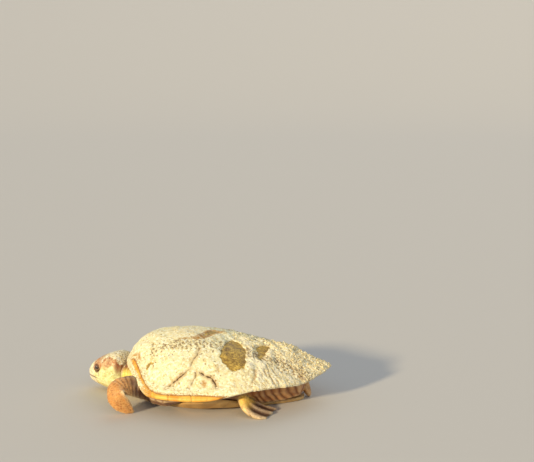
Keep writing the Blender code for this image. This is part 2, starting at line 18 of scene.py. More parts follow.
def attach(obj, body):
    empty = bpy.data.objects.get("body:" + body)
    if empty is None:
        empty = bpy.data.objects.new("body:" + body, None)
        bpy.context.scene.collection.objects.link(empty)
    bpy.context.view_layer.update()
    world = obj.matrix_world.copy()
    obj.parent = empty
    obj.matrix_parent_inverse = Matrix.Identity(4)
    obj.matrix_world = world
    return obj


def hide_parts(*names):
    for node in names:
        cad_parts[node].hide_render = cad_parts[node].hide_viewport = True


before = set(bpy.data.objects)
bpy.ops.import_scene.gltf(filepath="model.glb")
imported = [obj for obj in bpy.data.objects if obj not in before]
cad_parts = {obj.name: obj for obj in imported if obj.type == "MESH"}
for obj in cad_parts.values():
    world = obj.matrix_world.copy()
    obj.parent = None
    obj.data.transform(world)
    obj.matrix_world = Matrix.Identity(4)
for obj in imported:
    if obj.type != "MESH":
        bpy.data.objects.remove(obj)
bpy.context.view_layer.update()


# --- Marginal plates ---------------------------------------------------------------------------
# Twelve horny plates run down each side of the shell's edge, and one spans the neck. They are
# orange-yellow horn, bare of sand in a band along both sides. Each side is one strip swept round the
# edge, grooved and nicked where two plates meet.

SHELL_FRONT, SHELL_TAIL, SHELL_WIDEST = -0.460, 0.450, -0.060
SHELL_HALF_WIDTH = 0.345
CREST = (-0.235, 0.0, 0.303)
EDGE_HEIGHT = {"neck": 0.163, "shoulder": 0.081, "side": 0.084, "hip": 0.125, "tail": 0.145}
NUCHAL_TURN = 0.25
PLATES_A_SIDE = 12
HORN_UNDER_SAND = 0.003


def pigment(red, green, blue):
    """A paint from the colour card, as the linear values that a shader takes."""
    parts = [value / 255 for value in (red, green, blue)]
    return (*(p / 12.92 if p < 0.04 else ((p + 0.055) / 1.055) ** 2.4 for p in parts), 1.0)


def ease(value, low, high):
    """Rises smoothly from 0 at low to 1 at high."""
    share = np.clip((value - low) / (high - low), 0, 1)
    return share * share * (3 - 2 * share)


def bell(value, width, middle=0.0):
    """1 at the middle, falling away smoothly on both sides over about the width."""
    return np.exp(-(((value - middle) / width) ** 2))


def shell_edge(turn):
    """Points on the shell's outer edge. turn is 0 at the neck and pi at the tail, negative on the left."""
    along, across = np.cos(turn), np.abs(np.sin(turn))
    ahead, behind = np.clip(along, 0, 1), np.clip(-along, 0, 1)
    neck, shoulder, side, hip, tail = EDGE_HEIGHT.values()
    x = SHELL_WIDEST - (SHELL_WIDEST - SHELL_FRONT) * ahead**0.78
    x = x + (SHELL_TAIL - SHELL_WIDEST) * behind
    y = SHELL_HALF_WIDTH * np.where(along > 0, across, across**1.62)
    z = shoulder + (side - shoulder) * ease(-along, -0.6, -0.1) + (neck - shoulder) * ease(along, 0.60, 0.95)
    z = z + (hip - side) * ease(-along, -0.12, 0.42) + (tail - hip) * behind**9
    z = z - 0.011 * bell(along, 0.13, -0.74)
    return np.stack([x, y * np.sign(turn), z], axis=-1)


def towards_crest(points):
    level = np.array(CREST) - points
    level[..., 2] = 0
    return level / np.linalg.norm(level, axis=-1, keepdims=True)


def plate_width(turn):
    return 0.05 + 0.022 * np.clip(-np.cos(turn), 0, 1) ** 4


def plate_rise(turn):
    along = np.cos(turn)
    return 0.042 + np.where(along > 0, 0.034, -0.012) * along**2


def seam_distance(turn):
    """How far along the edge the nearest seam between two marginal plates is."""
    step = (math.pi - NUCHAL_TURN) / PLATES_A_SIDE
    phase = (np.abs(turn) - NUCHAL_TURN) / step
    pace = np.linalg.norm(shell_edge(turn + 0.01) - shell_edge(turn - 0.01), axis=-1) / 0.02
    return np.abs(phase - np.round(phase)) * step * pace


def rim_points(turn, around):
    """Points round the edge's wedge-shaped section, for shares of the way around it."""
    way = [0.00, 0.22, 0.42, 0.50, 0.56, 0.78, 0.95, 1.00]
    inward = np.interp(around, way, [1, 0.50, 0.12, 0, 0.08, 0.50, 1, 1]) * (plate_width(turn) - 0.001)
    inward += np.interp(around, way, [0, 0, 1, 1, 1, 0, 0, 0]) * edge_nick(turn)
    up = np.interp(around, way, [1, 0.66, 0.28, 0, 0, 0, 0, 1]) * plate_rise(turn)
    up += np.interp(around, way, [0, 0, 0, 0.003, -0.006, -0.011, -0.006, 0])
    up -= np.interp(around, way, [1, 1, 0.7, 0, 0, 0, 0, 1]) * HORN_UNDER_SAND
    edge = shell_edge(turn)
    return edge + towards_crest(edge) * inward[..., None] + np.array([0, 0, 1]) * up[..., None]


def edge_nick(turn):
    depth = 0.0015 + 0.0055 * np.clip(-np.cos(turn), 0, 1)
    return depth * (1 - ease(seam_distance(turn), 0, 0.026))


def lay(tree, kind, inputs=None, **settings):
    """Adds a node, with its settings and with values or links on its inputs."""
    made = tree.nodes.new(kind)
    for key, value in settings.items():
        setattr(made, key, value)
    for socket, value in (inputs or {}).items():
        if isinstance(value, bpy.types.NodeSocket):
            tree.links.new(value, made.inputs[socket])
        else:
            made.inputs[socket].default_value = value
    return made


def mix(tree, share, first, second):
    """One colour laid over another by a share."""
    return lay(tree, "ShaderNodeMix", {0: share, 6: first, 7: second}, data_type="RGBA").outputs[2]


def ramp(tree, value, low, high, to_low=0.0, to_high=1.0):
    """A smooth step of a value between two limits."""
    limits = {"Value": value, "From Min": low, "From Max": high, "To Min": to_low, "To Max": to_high}
    made = lay(tree, "ShaderNodeMapRange", limits, interpolation_type="SMOOTHSTEP")
    return made.outputs["Result"]


def sums(tree, operation, first, second):
    return lay(tree, "ShaderNodeMath", {0: first, 1: second}, operation=operation).outputs[0]


def times(tree, first, second):
    return sums(tree, "MULTIPLY", first, second)


def own_value(tree, name):
    """A value stored on the piece's own vertices."""
    return lay(tree, "ShaderNodeAttribute", attribute_name=name).outputs["Fac"]


def coloured(tree, name):
    return lay(tree, "ShaderNodeAttribute", attribute_name=name).outputs["Color"]


def cloud(tree, scale, detail=4.0, roughness=0.55, distortion=0.0):
    """Soft random mottling in the piece's own coordinates."""
    place = lay(tree, "ShaderNodeTexCoord").outputs["Object"]
    sizes = {"Vector": place, "Scale": scale, "Detail": detail, "Roughness": roughness}
    sizes["Distortion"] = distortion
    return lay(tree, "ShaderNodeTexNoise", sizes).outputs["Fac"]


def grains(tree, scale, feature="F1", randomness=1.0):
    """A mosaic of small cells: its distances and each cell's own random colour."""
    place = lay(tree, "ShaderNodeTexCoord").outputs["Object"]
    sizes = {"Vector": place, "Scale": scale, "Randomness": randomness}
    return lay(tree, "ShaderNodeTexVoronoi", sizes, feature=feature)


def new_group(name, inputs, outputs):
    """An empty node group with named sockets."""
    group = bpy.data.node_groups.new(name, "ShaderNodeTree")
    kinds = {"value": "NodeSocketFloat", "colour": "NodeSocketColor"}
    for label, kind, start in inputs:
        made = group.interface.new_socket(label, in_out="INPUT", socket_type=kinds[kind])
        made.default_value = start
    for label, kind in outputs:
        group.interface.new_socket(label, in_out="OUTPUT", socket_type=kinds[kind])
    return group, group.nodes.new("NodeGroupInput").outputs, group.nodes.new("NodeGroupOutput").inputs


def sand_dusting():
    """Dry sand clinging to another surface: single pale grains, thickest where the amount is high."""
    group, given, made = new_group(
        "sand_dusting",
        [("Surface", "colour", (0.5, 0.5, 0.5, 1)), ("Amount", "value", 0.3)],
        [("Color", "colour"), ("Cover", "value"), ("Height", "value")],
    )
    drift = cloud(group, 55, 5, 0.65)
    speck = grains(group, 700)
    spread = times(group, ramp(group, drift, 0.36, 0.66, 0.3, 1.7), given["Amount"])
    spread = sums(group, "ADD", spread, ramp(group, given["Amount"], 0.7, 0.95, 0.0, 1.2))
    chance = lay(group, "ShaderNodeSeparateColor", {"Color": speck.outputs["Color"]}).outputs[0]
    cover = ramp(group, sums(group, "SUBTRACT", spread, chance), 0.0, 0.06)
    mottled = ramp(group, cloud(group, 170, 4, 0.7), 0.38, 0.60)
    tone = mix(group, mottled, pigment(198, 168, 112), pigment(255, 246, 204))
    group.links.new(mix(group, cover, given["Surface"], tone), made["Color"])
    group.links.new(cover, made["Cover"])
    raised = times(group, cover, ramp(group, speck.outputs["Distance"], 0.0, 0.8, 1.0, 0.4))
    group.links.new(raised, made["Height"])
    return group


SAND_DUSTING = sand_dusting()


def new_material(name):
    made = bpy.data.materials.new(name)
    made.use_nodes = True
    return made, made.node_tree, made.node_tree.nodes["Principled BSDF"]


def dusted(tree, colour, amount):
    """The surface's colour with sand on it, and the sand's cover and height."""
    given = {"Surface": colour, "Amount": amount}
    made = lay(tree, "ShaderNodeGroup", given, node_tree=SAND_DUSTING).outputs
    return made["Color"], made["Cover"], made["Height"]


def relief(tree, shader, height, depth):
    """Bump from a height. depth is in metres."""
    bump = lay(tree, "ShaderNodeBump", {"Height": height, "Distance": depth, "Strength": 1.0})
    tree.links.new(bump.outputs["Normal"], shader.inputs["Normal"])


def rim_horn():
    """Orange-yellow horn, streaked across its growth lines, and brown in the seams and under the sand."""
    made, tree, shader = new_material("rim_horn")
    mottled = ramp(tree, cloud(tree, 14, 5, 0.6), 0.35, 0.62)
    body = mix(tree, mottled, pigment(238, 162, 54), pigment(250, 196, 84))
    streaked = ramp(tree, cloud(tree, 70, 6, 0.7, 1.2), 0.54, 0.70, 0.0, 0.8)
    body = mix(tree, streaked, body, pigment(170, 98, 40))
    body = mix(tree, times(tree, own_value(tree, "border"), 0.85), body, pigment(134, 76, 30))
    seam = own_value(tree, "seam")
    body = mix(tree, times(tree, seam, 0.6), body, pigment(112, 62, 26))
    colour, cover, height = dusted(tree, body, own_value(tree, "sand"))
    tree.links.new(colour, shader.inputs["Base Color"])
    tree.links.new(ramp(tree, cover, 0, 1, 0.42, 0.9), shader.inputs["Roughness"])
    fibres = sums(tree, "ADD", cloud(tree, 260, 4, 0.6, 2.0), times(tree, height, 1.5))
    relief(tree, shader, fibres, 0.0006)
    return made


def add_piece(name, mesh, material, slot, *nodes):
    """Puts a finished mesh in the scene as a piece that rides on the body in place of its solids."""
    if isinstance(mesh, bmesh.types.BMesh):
        shape, mesh = mesh, bpy.data.meshes.new(name)
        shape.to_mesh(mesh)
        shape.free()
    mesh.shade_smooth()
    mesh.materials.clear()
    mesh.materials.append(material)
    piece = bpy.data.objects.new(name, mesh)
    bpy.context.scene.collection.objects.link(piece)
    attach(piece, "root")
    if nodes:
        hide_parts(*nodes)
    return piece


BARE_BAND = (  # how far round from the neck, and the share of the plates' width that is bare there
    [0.36, 0.45, 0.52, 0.63, 0.72, 0.82, 0.90, 0.98, 1.05]
    + [1.12, 1.22, 1.35, 1.45, 1.53, 1.60, 1.66, 1.74, 1.90],
    [0.30, 0.58, 0.66, 0.64, 0.60, 0.54, 0.47, 0.38, 0.30]
    + [0.28, 0.33, 0.38, 0.44, 0.40, 0.28, 0.10, -0.05, -0.26],
)


def bare_band(turn):
    """The share of the plates' width, from the edge in, that is bare of sand. Below 0 the sand goes
    over the edge and under it."""
    return np.interp(np.abs(turn), *BARE_BAND)


def soften(bm, rounds):
    """Rounds every edge and corner of a shape a little, a number of times over."""
    every_way = {"use_axis_x": True, "use_axis_y": True, "use_axis_z": True}
    for _ in range(rounds):
        bmesh.ops.smooth_vert(bm, verts=bm.verts[:], factor=0.5, **every_way)


def rim_strip(start, stop, long_way):
    """The marginal plates between two turns as a single closed strip."""
    round_way = 32
    bm = bmesh.new()
    bmesh.ops.create_grid(bm, x_segments=long_way, y_segments=round_way, size=1)
    seam, sand, border = (bm.verts.layers.float.new(name) for name in ("seam", "sand", "border"))
    places = np.array([v.co for v in bm.verts])
    turn = start + (places[:, 0] + 1) / 2 * (stop - start)
    around = (places[:, 1] + 1) / 2
    points = rim_points(turn, around)
    groove = bell(seam_distance(turn), 0.0024)
    inward = np.interp(around, [0, 0.5, 0.56, 1], [1, 0, 0.08, 1])
    points[:, 2] -= groove * 0.0016 * (around < 0.5)
    sandy_lip = (1 - ease(np.abs(turn), 0.74, 0.98)) * (1 - ease(inward, 0.30, 0.44)) * (around < 0.56)
    for v, point, cut, share, lip in zip(bm.verts, points, groove, inward - bare_band(turn), sandy_lip):
        v.co = point
        v[seam] = cut
        v[sand] = 0.03 + 0.9 * max(float(ease(share, -0.04, 0.06)), float(lip))
        lip_border = 0.5 * (lip > 0.02) * (1 - lip)
        v[border] = float(max(bell(share, 0.07, -0.02), lip_border))
    bmesh.ops.remove_doubles(bm, verts=bm.verts[:], dist=1e-6)
    ends = [e for e in bm.edges if e.is_boundary]
    bmesh.ops.holes_fill(bm, edges=ends, sides=0)
    soften(bm, 3)
    bmesh.ops.recalc_face_normals(bm, faces=bm.faces[:])
    return bm


RIM_HORN = rim_horn()
for side, sign in (("left", -1), ("right", 1)):
    strip = rim_strip(NUCHAL_TURN * sign, (math.pi - 0.002) * sign, 640)
    add_piece(f"rim_plates_{side}", strip, RIM_HORN, "rim_horn", f"marginal_scutes_{side}")
neck_plate = rim_strip(-NUCHAL_TURN + 0.004, NUCHAL_TURN - 0.004, 90)
add_piece("neck_plate", neck_plate, RIM_HORN, "sandy_scute", "nuchal_scute")


# --- Plates of the back ------------------------------------------------------------------------
# Five plates down the middle and five down each side: thin olive-brown horn, matted with fine weed,
# that shows where the sand has fallen off. Each is cut to its own seams, edge to edge.

FLARE = 0.965
PLATE_UNDER_SAND = 0.005
SEAM_CLOSED = 0.0006
BACK_PLATES = [f"vertebral_scute_{i}" for i in range(1, 6)]
BACK_PLATES += [f"costal_scute_{side}_{i}" for side in ("left", "right") for i in range(1, 6)]


def inner_edge(turn):
    """Where the marginal plates meet the plates of the back."""
    edge = shell_edge(turn)
    up = np.array([0, 0, 1]) * plate_rise(turn)[..., None]
    return edge + towards_crest(edge) * plate_width(turn)[..., None] + up


def crest_table():
    """Bearing from the crest, reach and height of the inner edge, in rising order of bearing."""
    corner = inner_edge(np.linspace(math.pi, 0, 361))
    away = corner[:, 0] - CREST[0]
    return np.arctan2(np.abs(corner[:, 1]), away), np.hypot(away, corner[:, 1]), corner[:, 2]


BEARINGS, REACHES, FEET = crest_table()


def place_on_back(x, y):
    """Bearing of a point of the plan from the crest, its share of the way out, and the edge's height."""
    bearing = np.arctan2(np.abs(y), x - CREST[0])
    share = np.minimum(np.hypot(x - CREST[0], y) / np.interp(bearing, BEARINGS, REACHES), 1)
    return bearing, share, np.interp(bearing, BEARINGS, FEET)


def dome_height(x, y):
    """Height of the smooth sand over the back: an arch from the plates' inner edge to the crest."""
    bearing, share, foot = place_on_back(x, y)
    ahead, behind = np.clip(-np.cos(bearing), 0, 1) ** 2, np.clip(np.cos(bearing), 0, 1) ** 2
    arch, power = 0.70 - 0.12 * ahead + 0.05 * behind, 2 - 0.25 * behind
    low = (1 - FLARE**power) ** arch
    rise = ((1 - (FLARE * share) ** power) ** arch - low) / (1 - low)
    heap = 0.011 * np.exp(-(((x - 0.255) / 0.065) ** 2) - (y / 0.11) ** 2)
    return foot + (CREST[2] - foot) * rise + heap


def sand_drift(x, y):
    """How far the sand stands above the smooth arch, or below it: low drifts over the hips, and one
    ridge down the left side. Both fade out towards the edge of the shell."""
    waves = np.sin(70 * x + 1.4 * np.sin(26 * y)) * np.sin(74 * y + 1.2 * np.sin(33 * x))
    ridge = bell(x - 0.202 - 0.17 * y, 0.020) * ease(-y, 0.01, 0.06)
    height = 0.004 * ease(x, -0.20, 0.06) * waves + 0.005 * ridge
    return height * (1 - ease(place_on_back(x, y)[1], 0.84, 0.97))


def fibres(tree, scale, stretch):
    """Mottling drawn out along one direction, like fibres."""
    place = lay(tree, "ShaderNodeTexCoord").outputs["Object"]
    drawn = lay(tree, "ShaderNodeMapping", {"Vector": place, "Scale": stretch}).outputs["Vector"]
    sizes = {"Vector": drawn, "Scale": scale, "Detail": 6.0, "Roughness": 0.72, "Distortion": 1.2}
    return lay(tree, "ShaderNodeTexNoise", sizes).outputs["Fac"]


def plate_horn():
    """Olive-brown horn, matted with fine fibres of weed, darker towards its seams."""
    made, tree, shader = new_material("plate_horn")
    fibre = fibres(tree, 150, (0.35, 0.8, 1.0))
    body = mix(tree, ramp(tree, fibre, 0.38, 0.62), pigment(124, 90, 28), pigment(232, 194, 92))
    body = mix(tree, ramp(tree, cloud(tree, 24, 4, 0.6), 0.42, 0.68, 0.0, 0.7), body, pigment(128, 98, 40))
    body = mix(tree, ramp(tree, own_value(tree, "seam"), 0, 1, 0, 0.15), body, pigment(104, 78, 36))
    colour, _, height = dusted(tree, body, 0.02)
    tree.links.new(colour, shader.inputs["Base Color"])
    tree.links.new(ramp(tree, fibre, 0.3, 0.7, 0.5, 0.75), shader.inputs["Roughness"])
    relief(tree, shader, sums(tree, "ADD", fibre, height), 0.0016)
    return made


def own_copy(*names):
    """The shape of one or more solids as one bmesh, with its loose triangles sewn together."""
    bm = bmesh.new()
    for name in names:
        bm.from_mesh(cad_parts[name].data)
    bmesh.ops.remove_doubles(bm, verts=bm.verts[:], dist=1e-5)
    return bm


def refine(bm, longest, rounds):
    """Splits every edge that is longer than the given length."""
    for _ in range(rounds):
        long_edges = [e for e in bm.edges if e.calc_length() > longest]
        bmesh.ops.subdivide_edges(bm, edges=long_edges, cuts=1, use_grid_fill=True)
        bmesh.ops.triangulate(bm, faces=[f for f in bm.faces if len(f.verts) > 4])


def back_plate(name):
    """One plate, sunk to leave room for the sand, with rounded edges and rings of growth."""
    bm = own_copy(name)
    refine(bm, 0.006, 4)
    seam = bm.verts.layers.float.new("seam")
    sharp = [v for v in bm.verts if any(e.is_manifold and e.calc_face_angle(0) > 0.8 for e in v.link_edges)]
    tree = KDTree(len(sharp))
    for i, v in enumerate(sharp):
        tree.insert((v.co.x, v.co.y, 0), i)
    tree.balance()
    bm.normal_update()
    for v in bm.verts:
        if abs(v.normal.z) < 0.8:
            v.co += Vector((v.normal.x, v.normal.y, 0)).normalized() * SEAM_CLOSED
    x, y, z = np.array([v.co for v in bm.verts]).T
    near = np.array([tree.find((v.co.x, v.co.y, 0))[2] for v in bm.verts])
    top, step = dome_height(x, y), 0.003
    fall_along, fall_across = dome_height(x + step, y) - top, dome_height(x, y + step) - top
    slant = np.sqrt(1 + (fall_along / step) ** 2 + (fall_across / step) ** 2)
    depth = np.maximum(top + sand_drift(x, y) - z, 0) / slant
    ring = 0.0003 * np.cos(near * 1100) * ease(near, 0.004, 0.012)
    rounding = 0.0003 * (1 - ease(near, 0, 0.004))
    over = 1 - ease(depth, 0.003, 0.009)
    sunk = z + over * (top - (PLATE_UNDER_SAND + rounding - ring) * slant - z)
    for v, height, dark in zip(bm.verts, sunk, 1 - ease(near, 0.001, 0.006)):
        v.co.z = height
        v[seam] = dark
    return bm


PLATE_HORN = plate_horn()
for name in BACK_PLATES:
    add_piece(name.replace("scute", "plate"), back_plate(name), PLATE_HORN, "sandy_scute", name)


# --- Belly plates -----------------------------------------------------------------------------------
# The plastron: six pairs of smooth cream-yellow horn plates, fused to the bone under the belly. They
# meet on the midline, and bridges join them to the edge of the shell amidships.

BELLY_SEAMS = [-0.300, -0.205, -0.080, 0.040, 0.150]


def belly_horn():
    made, tree, shader = new_material("belly_horn")
    # The horn is painted browner and darker than its own cream-yellow: painted shade for the shadow under the
    # shell.
    mottled = ramp(tree, cloud(tree, 9, 5, 0.6), 0.36, 0.64)
    body = mix(tree, mottled, pigment(176, 134, 74), pigment(204, 166, 102))
    streaked = ramp(tree, cloud(tree, 45, 5, 0.7, 0.8), 0.56, 0.70, 0.0, 0.6)
    body = mix(tree, streaked, body, pigment(186, 138, 78))
    body = mix(tree, times(tree, own_value(tree, "seam"), 0.7), body, pigment(146, 100, 54))
    colour, cover, height = dusted(tree, body, 0.04)
    tree.links.new(colour, shader.inputs["Base Color"])
    tree.links.new(ramp(tree, cover, 0, 1, 0.45, 0.9), shader.inputs["Roughness"])
    relief(tree, shader, sums(tree, "ADD", cloud(tree, 150, 4, 0.6), height), 0.0007)
    return made


def belly_gap(place):
    """How far a point of the belly is from the nearest seam between its plates."""
    across = [abs(place.x - x - 3.5 * place.y**2) for x in BELLY_SEAMS]
    return min(abs(place.y + 0.004 * math.sin(place.x * 22)), *across)


def belly_plates():
    """The plastron with its edge rounded over and the seams between its plates cut in."""
    bm = own_copy("plastron")
    refine(bm, 0.012, 4)
    soften(bm, 2)
    crossing = [e for e in bm.edges if min(belly_gap(v.co) for v in e.verts) < 0.012]
    bmesh.ops.subdivide_edges(bm, edges=crossing, cuts=2, use_grid_fill=True)
    bmesh.ops.triangulate(bm, faces=[f for f in bm.faces if len(f.verts) > 4])
    bm.normal_update()
    seam = bm.verts.layers.float.new("seam")
    for v in bm.verts:
        v[seam] = float(bell(belly_gap(v.co), 0.0028))
        if v.normal.z < 0:
            v.co.z = max(v.co.z, 0.0) + 0.0012 * v[seam]
    return bm


add_piece("belly_plates", belly_plates(), belly_horn(), "belly_horn", "plastron")


# --- Skin -----------------------------------------------------------------------------------------
# One unbroken skin covers head, neck, limbs, tail and all that shows of the body under the shell.
# It is horny and tiled with scales on the head and flippers, and soft and creased where it bends.

FLESH = ["head", "lower_jaw", "neck", "trunk", "tail"]
LIMB_SOLIDS = {"front": ("upper_arm", "front_flipper"), "hind": ("thigh", "hind_flipper")}
for side in ("left", "right"):
    FLESH += [f"{part}_{side}" for end in LIMB_SOLIDS.values() for part in end]
FILLED = ["eye_left", "eye_right", "upper_beak", "lower_beak"]
SWELL = 0.0014
SKIN_GRID = 0.0046

HEAD_AXES = Matrix.Translation((-0.646, 0.105, 0.008)) @ Matrix.Rotation(math.radians(-22), 4, "Z")
HEAD_BACK = [0.000, 0.006, 0.020, 0.042, 0.066, 0.092, 0.122, 0.150, 0.172, 0.190, 0.206]
HEAD_WIDE = [0.013, 0.028, 0.039, 0.049, 0.060, 0.072, 0.083, 0.089, 0.087, 0.078, 0.068]
HEAD_TOP = [0.080, 0.097, 0.112, 0.128, 0.142, 0.155, 0.167, 0.174, 0.170, 0.150, 0.128]
HEAD_LOW = [0.046, 0.033, 0.023, 0.015, 0.009, 0.004, 0.001, 0.001, 0.004, 0.010, 0.018]
EYE_PLACE = (0.066, 0.045, 0.0985)
EYE_RADIUS = 0.0157
EYE_OPENING = (0.0125, 0.0082)

HEAD_PLATES = [  # back from the beak's tip in metres, and degrees round from the crown
    (0.024, 20), (0.046, 26), (0.072, 0), (0.074, 42), (0.104, 0), (0.110, 36), (0.140, 30),
    (0.166, 13), (0.090, 62), (0.093, 84), (0.091, 104), (0.112, 68), (0.117, 92), (0.138, 60),
    (0.142, 84), (0.140, 108), (0.164, 46), (0.168, 74), (0.167, 100), (0.055, 66), (0.060, 122),
    (0.095, 136), (0.130, 140), (0.050, 92),
]
FRONT_WIDTHS = ([0, 0.2, 0.42, 0.62, 0.8, 0.93, 1], [0.110, 0.094, 0.104, 0.110, 0.088, 0.048, 0.016])
HIND_WIDTHS = ([0, 0.3, 0.55, 0.78, 0.93, 1], [0.100, 0.086, 0.078, 0.120, 0.142, 0.128])
LIMBS = {
    "front_left": (
        [(-0.33, -0.165, 0.075), (-0.52, -0.29, 0.160), (-0.47, -0.32, 0.068), (-0.392, -0.262, 0.003)],
        [(-0.4, 0.1, 0.9), (-0.55, 0.55, -0.15), (-0.80, -0.10, -0.50)],
    ),
    "front_right": (
        [(-0.325, 0.165, 0.085), (-0.47, 0.33, 0.120), (-0.27, 0.45, 0.012), (-0.09, 0.505, 0.004)],
        [(-0.8, 0.2, 0.5), (-0.6, 0.8, 0), (-0.3, 1, 0)],
    ),
    "hind_left": (
        [(0.15, -0.13, 0.075), (0.045, -0.235, 0.110), (0.062, -0.272, 0.023), (0.193, -0.25, 0.004)],
        [(-0.9, -0.4, 0), (-0.6, -0.8, 0), (-0.5, -0.87, 0)],
    ),
    "hind_right": (
        [(0.15, 0.13, 0.075), (0.09, 0.25, 0.105), (0.165, 0.30, 0.018), (0.31, 0.27, 0.004)],
        [(-0.9, 0.4, 0), (-0.6, 0.8, 0), (-0.3, 0.95, 0)],
    ),
}


def swollen_flesh():
    """All the solids of the flesh, swollen until they overlap, as one evenly gridded mesh."""
    bm = bmesh.new()
    for name in FLESH + FILLED:
        part = own_copy(name)
        part.normal_update()
        for v in part.verts:
            v.co += v.normal * SWELL
        swollen = bpy.data.meshes.new("swollen")
        part.to_mesh(swollen)
        part.free()
        bm.from_mesh(swollen)
        bpy.data.meshes.remove(swollen)
    lump = bpy.data.objects.new("lump", bpy.data.meshes.new("lump"))
    bm.to_mesh(lump.data)
    bm.free()
    bpy.context.scene.collection.objects.link(lump)
    grid = lump.modifiers.new("grid", "REMESH")
    grid.mode, grid.voxel_size = "VOXEL", SKIN_GRID
    finished = lump.evaluated_get(bpy.context.evaluated_depsgraph_get())
    mesh = bpy.data.meshes.new_from_object(finished)
    bpy.data.objects.remove(lump)
    return mesh


def read_mesh(mesh):
    """Places, normals and edges of a mesh as arrays."""
    points, normals = np.empty(len(mesh.vertices) * 3), np.empty(len(mesh.vertices) * 3)
    edges = np.empty(len(mesh.edges) * 2, dtype=int)
    mesh.vertices.foreach_get("co", points)
    mesh.vertices.foreach_get("normal", normals)
    mesh.edges.foreach_get("vertices", edges)
    return points.reshape(-1, 3), normals.reshape(-1, 3), edges.reshape(-1, 2)


def neighbours_mean(values, edges):
    """For every vertex, the mean of the values on the vertices next to it."""
    count = np.maximum(np.bincount(edges.ravel(), minlength=len(values)), 1)
    flat = values.reshape(len(values), -1)
    total = np.empty_like(flat)
    for k in range(flat.shape[1]):
        total[:, k] = np.bincount(edges[:, 0], flat[edges[:, 1], k], len(values))
        total[:, k] += np.bincount(edges[:, 1], flat[edges[:, 0], k], len(values))
    return (total / count[:, None]).reshape(values.shape)


def blur(values, edges, rounds):
    for _ in range(rounds):
        values = 0.4 * values + 0.6 * neighbours_mean(values, edges)
    return values


def relax(points, edges, rounds):
    """Smooths away facets and keeps the volume: each round shrinks a little, then swells back."""
    for _ in range(rounds):
        for step in (0.5, -0.53):
            points = points + step * (neighbours_mean(points, edges) - points)
    return points


def nearest_solid(points):
    """The name of the solid that each point lies nearest to."""
    corners, faces, owners = [], [], []
    for name in FLESH + FILLED:
        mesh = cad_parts[name].data
        faces += [[len(corners) + i for i in face.vertices] for face in mesh.polygons]
        owners += [name] * len(mesh.polygons)
        corners += [v.co for v in mesh.vertices]
    tree = BVHTree.FromPolygons(corners, faces)
    return np.array([owners[tree.find_nearest(p)[2]] for p in points])


def in_head(points):
    """Points in the head's own axes: back from the beak's tip, to the right, and up."""
    turn = np.array(HEAD_AXES.inverted())
    return points @ turn[:3, :3].T + turn[:3, 3]


def round_head(points):
    """How far back a point of the head is, its angle round from the crown, and the girth there."""
    back, side, up = in_head(points).T
    wide, top, low = (np.interp(back, HEAD_BACK, row) for row in (HEAD_WIDE, HEAD_TOP, HEAD_LOW))
    return back, np.degrees(np.arctan2(side, up - (top + low) / 2)), (wide + (top - low) / 2) / 2


def plate_seams(points):
    """How far each point of the head is from the nearest seam between two plates."""
    back, angle, girth = round_head(points)
    places = [(b, a * s) for b, a in HEAD_PLATES for s in ((1, -1) if a else (1,))]
    places = np.array(places)
    along = back[:, None] - places[:, 0]
    around = np.radians(angle[:, None] - places[:, 1]) * girth[:, None]
    away = np.hypot(along, around)
    order = np.argsort(away, axis=1)
    first, second = order[:, 0], order[:, 1]
    rows = np.arange(len(points))
    spread = np.radians(places[first, 1] - places[second, 1]) * girth
    apart = np.hypot(places[first, 0] - places[second, 0], spread)
    return (away[rows, second] ** 2 - away[rows, first] ** 2) / (2 * apart)


def along_limb(points, plan, widths):
    """For points of a limb: the share of its length, the place across it (1 at the leading edge) and
    how far they face its upper side."""
    a, b, c, d = (np.array(p) for p in plan[0])
    share = np.linspace(0, 1, 241)[:, None]
    rest = 1 - share
    bone = a * rest**3 + 3 * b * rest**2 * share + 3 * c * rest * share**2 + d * share**3
    ahead = np.gradient(bone, axis=0)
    ahead /= np.linalg.norm(ahead, axis=1, keepdims=True)
    leads = np.array(plan[1])
    lead = np.stack([np.interp(share[:, 0], [0, 0.5, 1], leads[:, k]) for k in range(3)], axis=-1)
    lead -= ahead * (lead * ahead).sum(axis=1, keepdims=True)
    lead /= np.linalg.norm(lead, axis=1, keepdims=True)
    up = np.cross(ahead, lead) * (1 if a[1] > 0 else -1)
    away = ((points[:, None, :] - bone[None]) ** 2).sum(axis=2)
    near = away.argmin(axis=1)
    off = points - bone[near]
    across = (off * lead[near]).sum(axis=1) / (np.interp(share[near, 0], *widths) / 2)
    return share[near, 0], across, (off * up[near]).sum(axis=1)


def thin_where_hidden(mesh):
    """Skin that lies against the plates is never seen, so it needs only a few large faces."""
    corners, faces = [], []
    for name in BACK_PLATES + ["plastron", "marginal_scutes_left", "marginal_scutes_right"]:
        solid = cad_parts[name].data
        faces += [[len(corners) + i for i in face.vertices] for face in solid.polygons]
        corners += [v.co for v in solid.vertices]
    plates = BVHTree.FromPolygons(corners, faces)
    hidden = [v.index for v in mesh.vertices if plates.find_nearest(v.co, 0.0058)[0] is not None]
    lump = bpy.data.objects.new("lump", mesh)
    bpy.context.scene.collection.objects.link(lump)
    lump.vertex_groups.new(name="hidden").add(hidden, 1.0, "REPLACE")
    fewer = lump.modifiers.new("fewer", "DECIMATE")
    fewer.vertex_group, fewer.ratio = "hidden", 1 - 0.92 * len(hidden) / len(mesh.vertices)
    finished = lump.evaluated_get(bpy.context.evaluated_depsgraph_get())
    thinned = bpy.data.meshes.new_from_object(finished)
    bpy.data.objects.remove(lump)
    return thinned


def finer(mesh, chosen):
    """The mesh with every face whose corners are all chosen split in four."""
    bm = bmesh.new()
    bm.from_mesh(mesh)
    inside = [e for e in bm.edges if chosen[e.verts[0].index] and chosen[e.verts[1].index]]
    bmesh.ops.subdivide_edges(bm, edges=inside, cuts=1, use_grid_fill=True)
    bmesh.ops.triangulate(bm, faces=[f for f in bm.faces if len(f.verts) > 4])
    bm.to_mesh(mesh)
    bm.free()


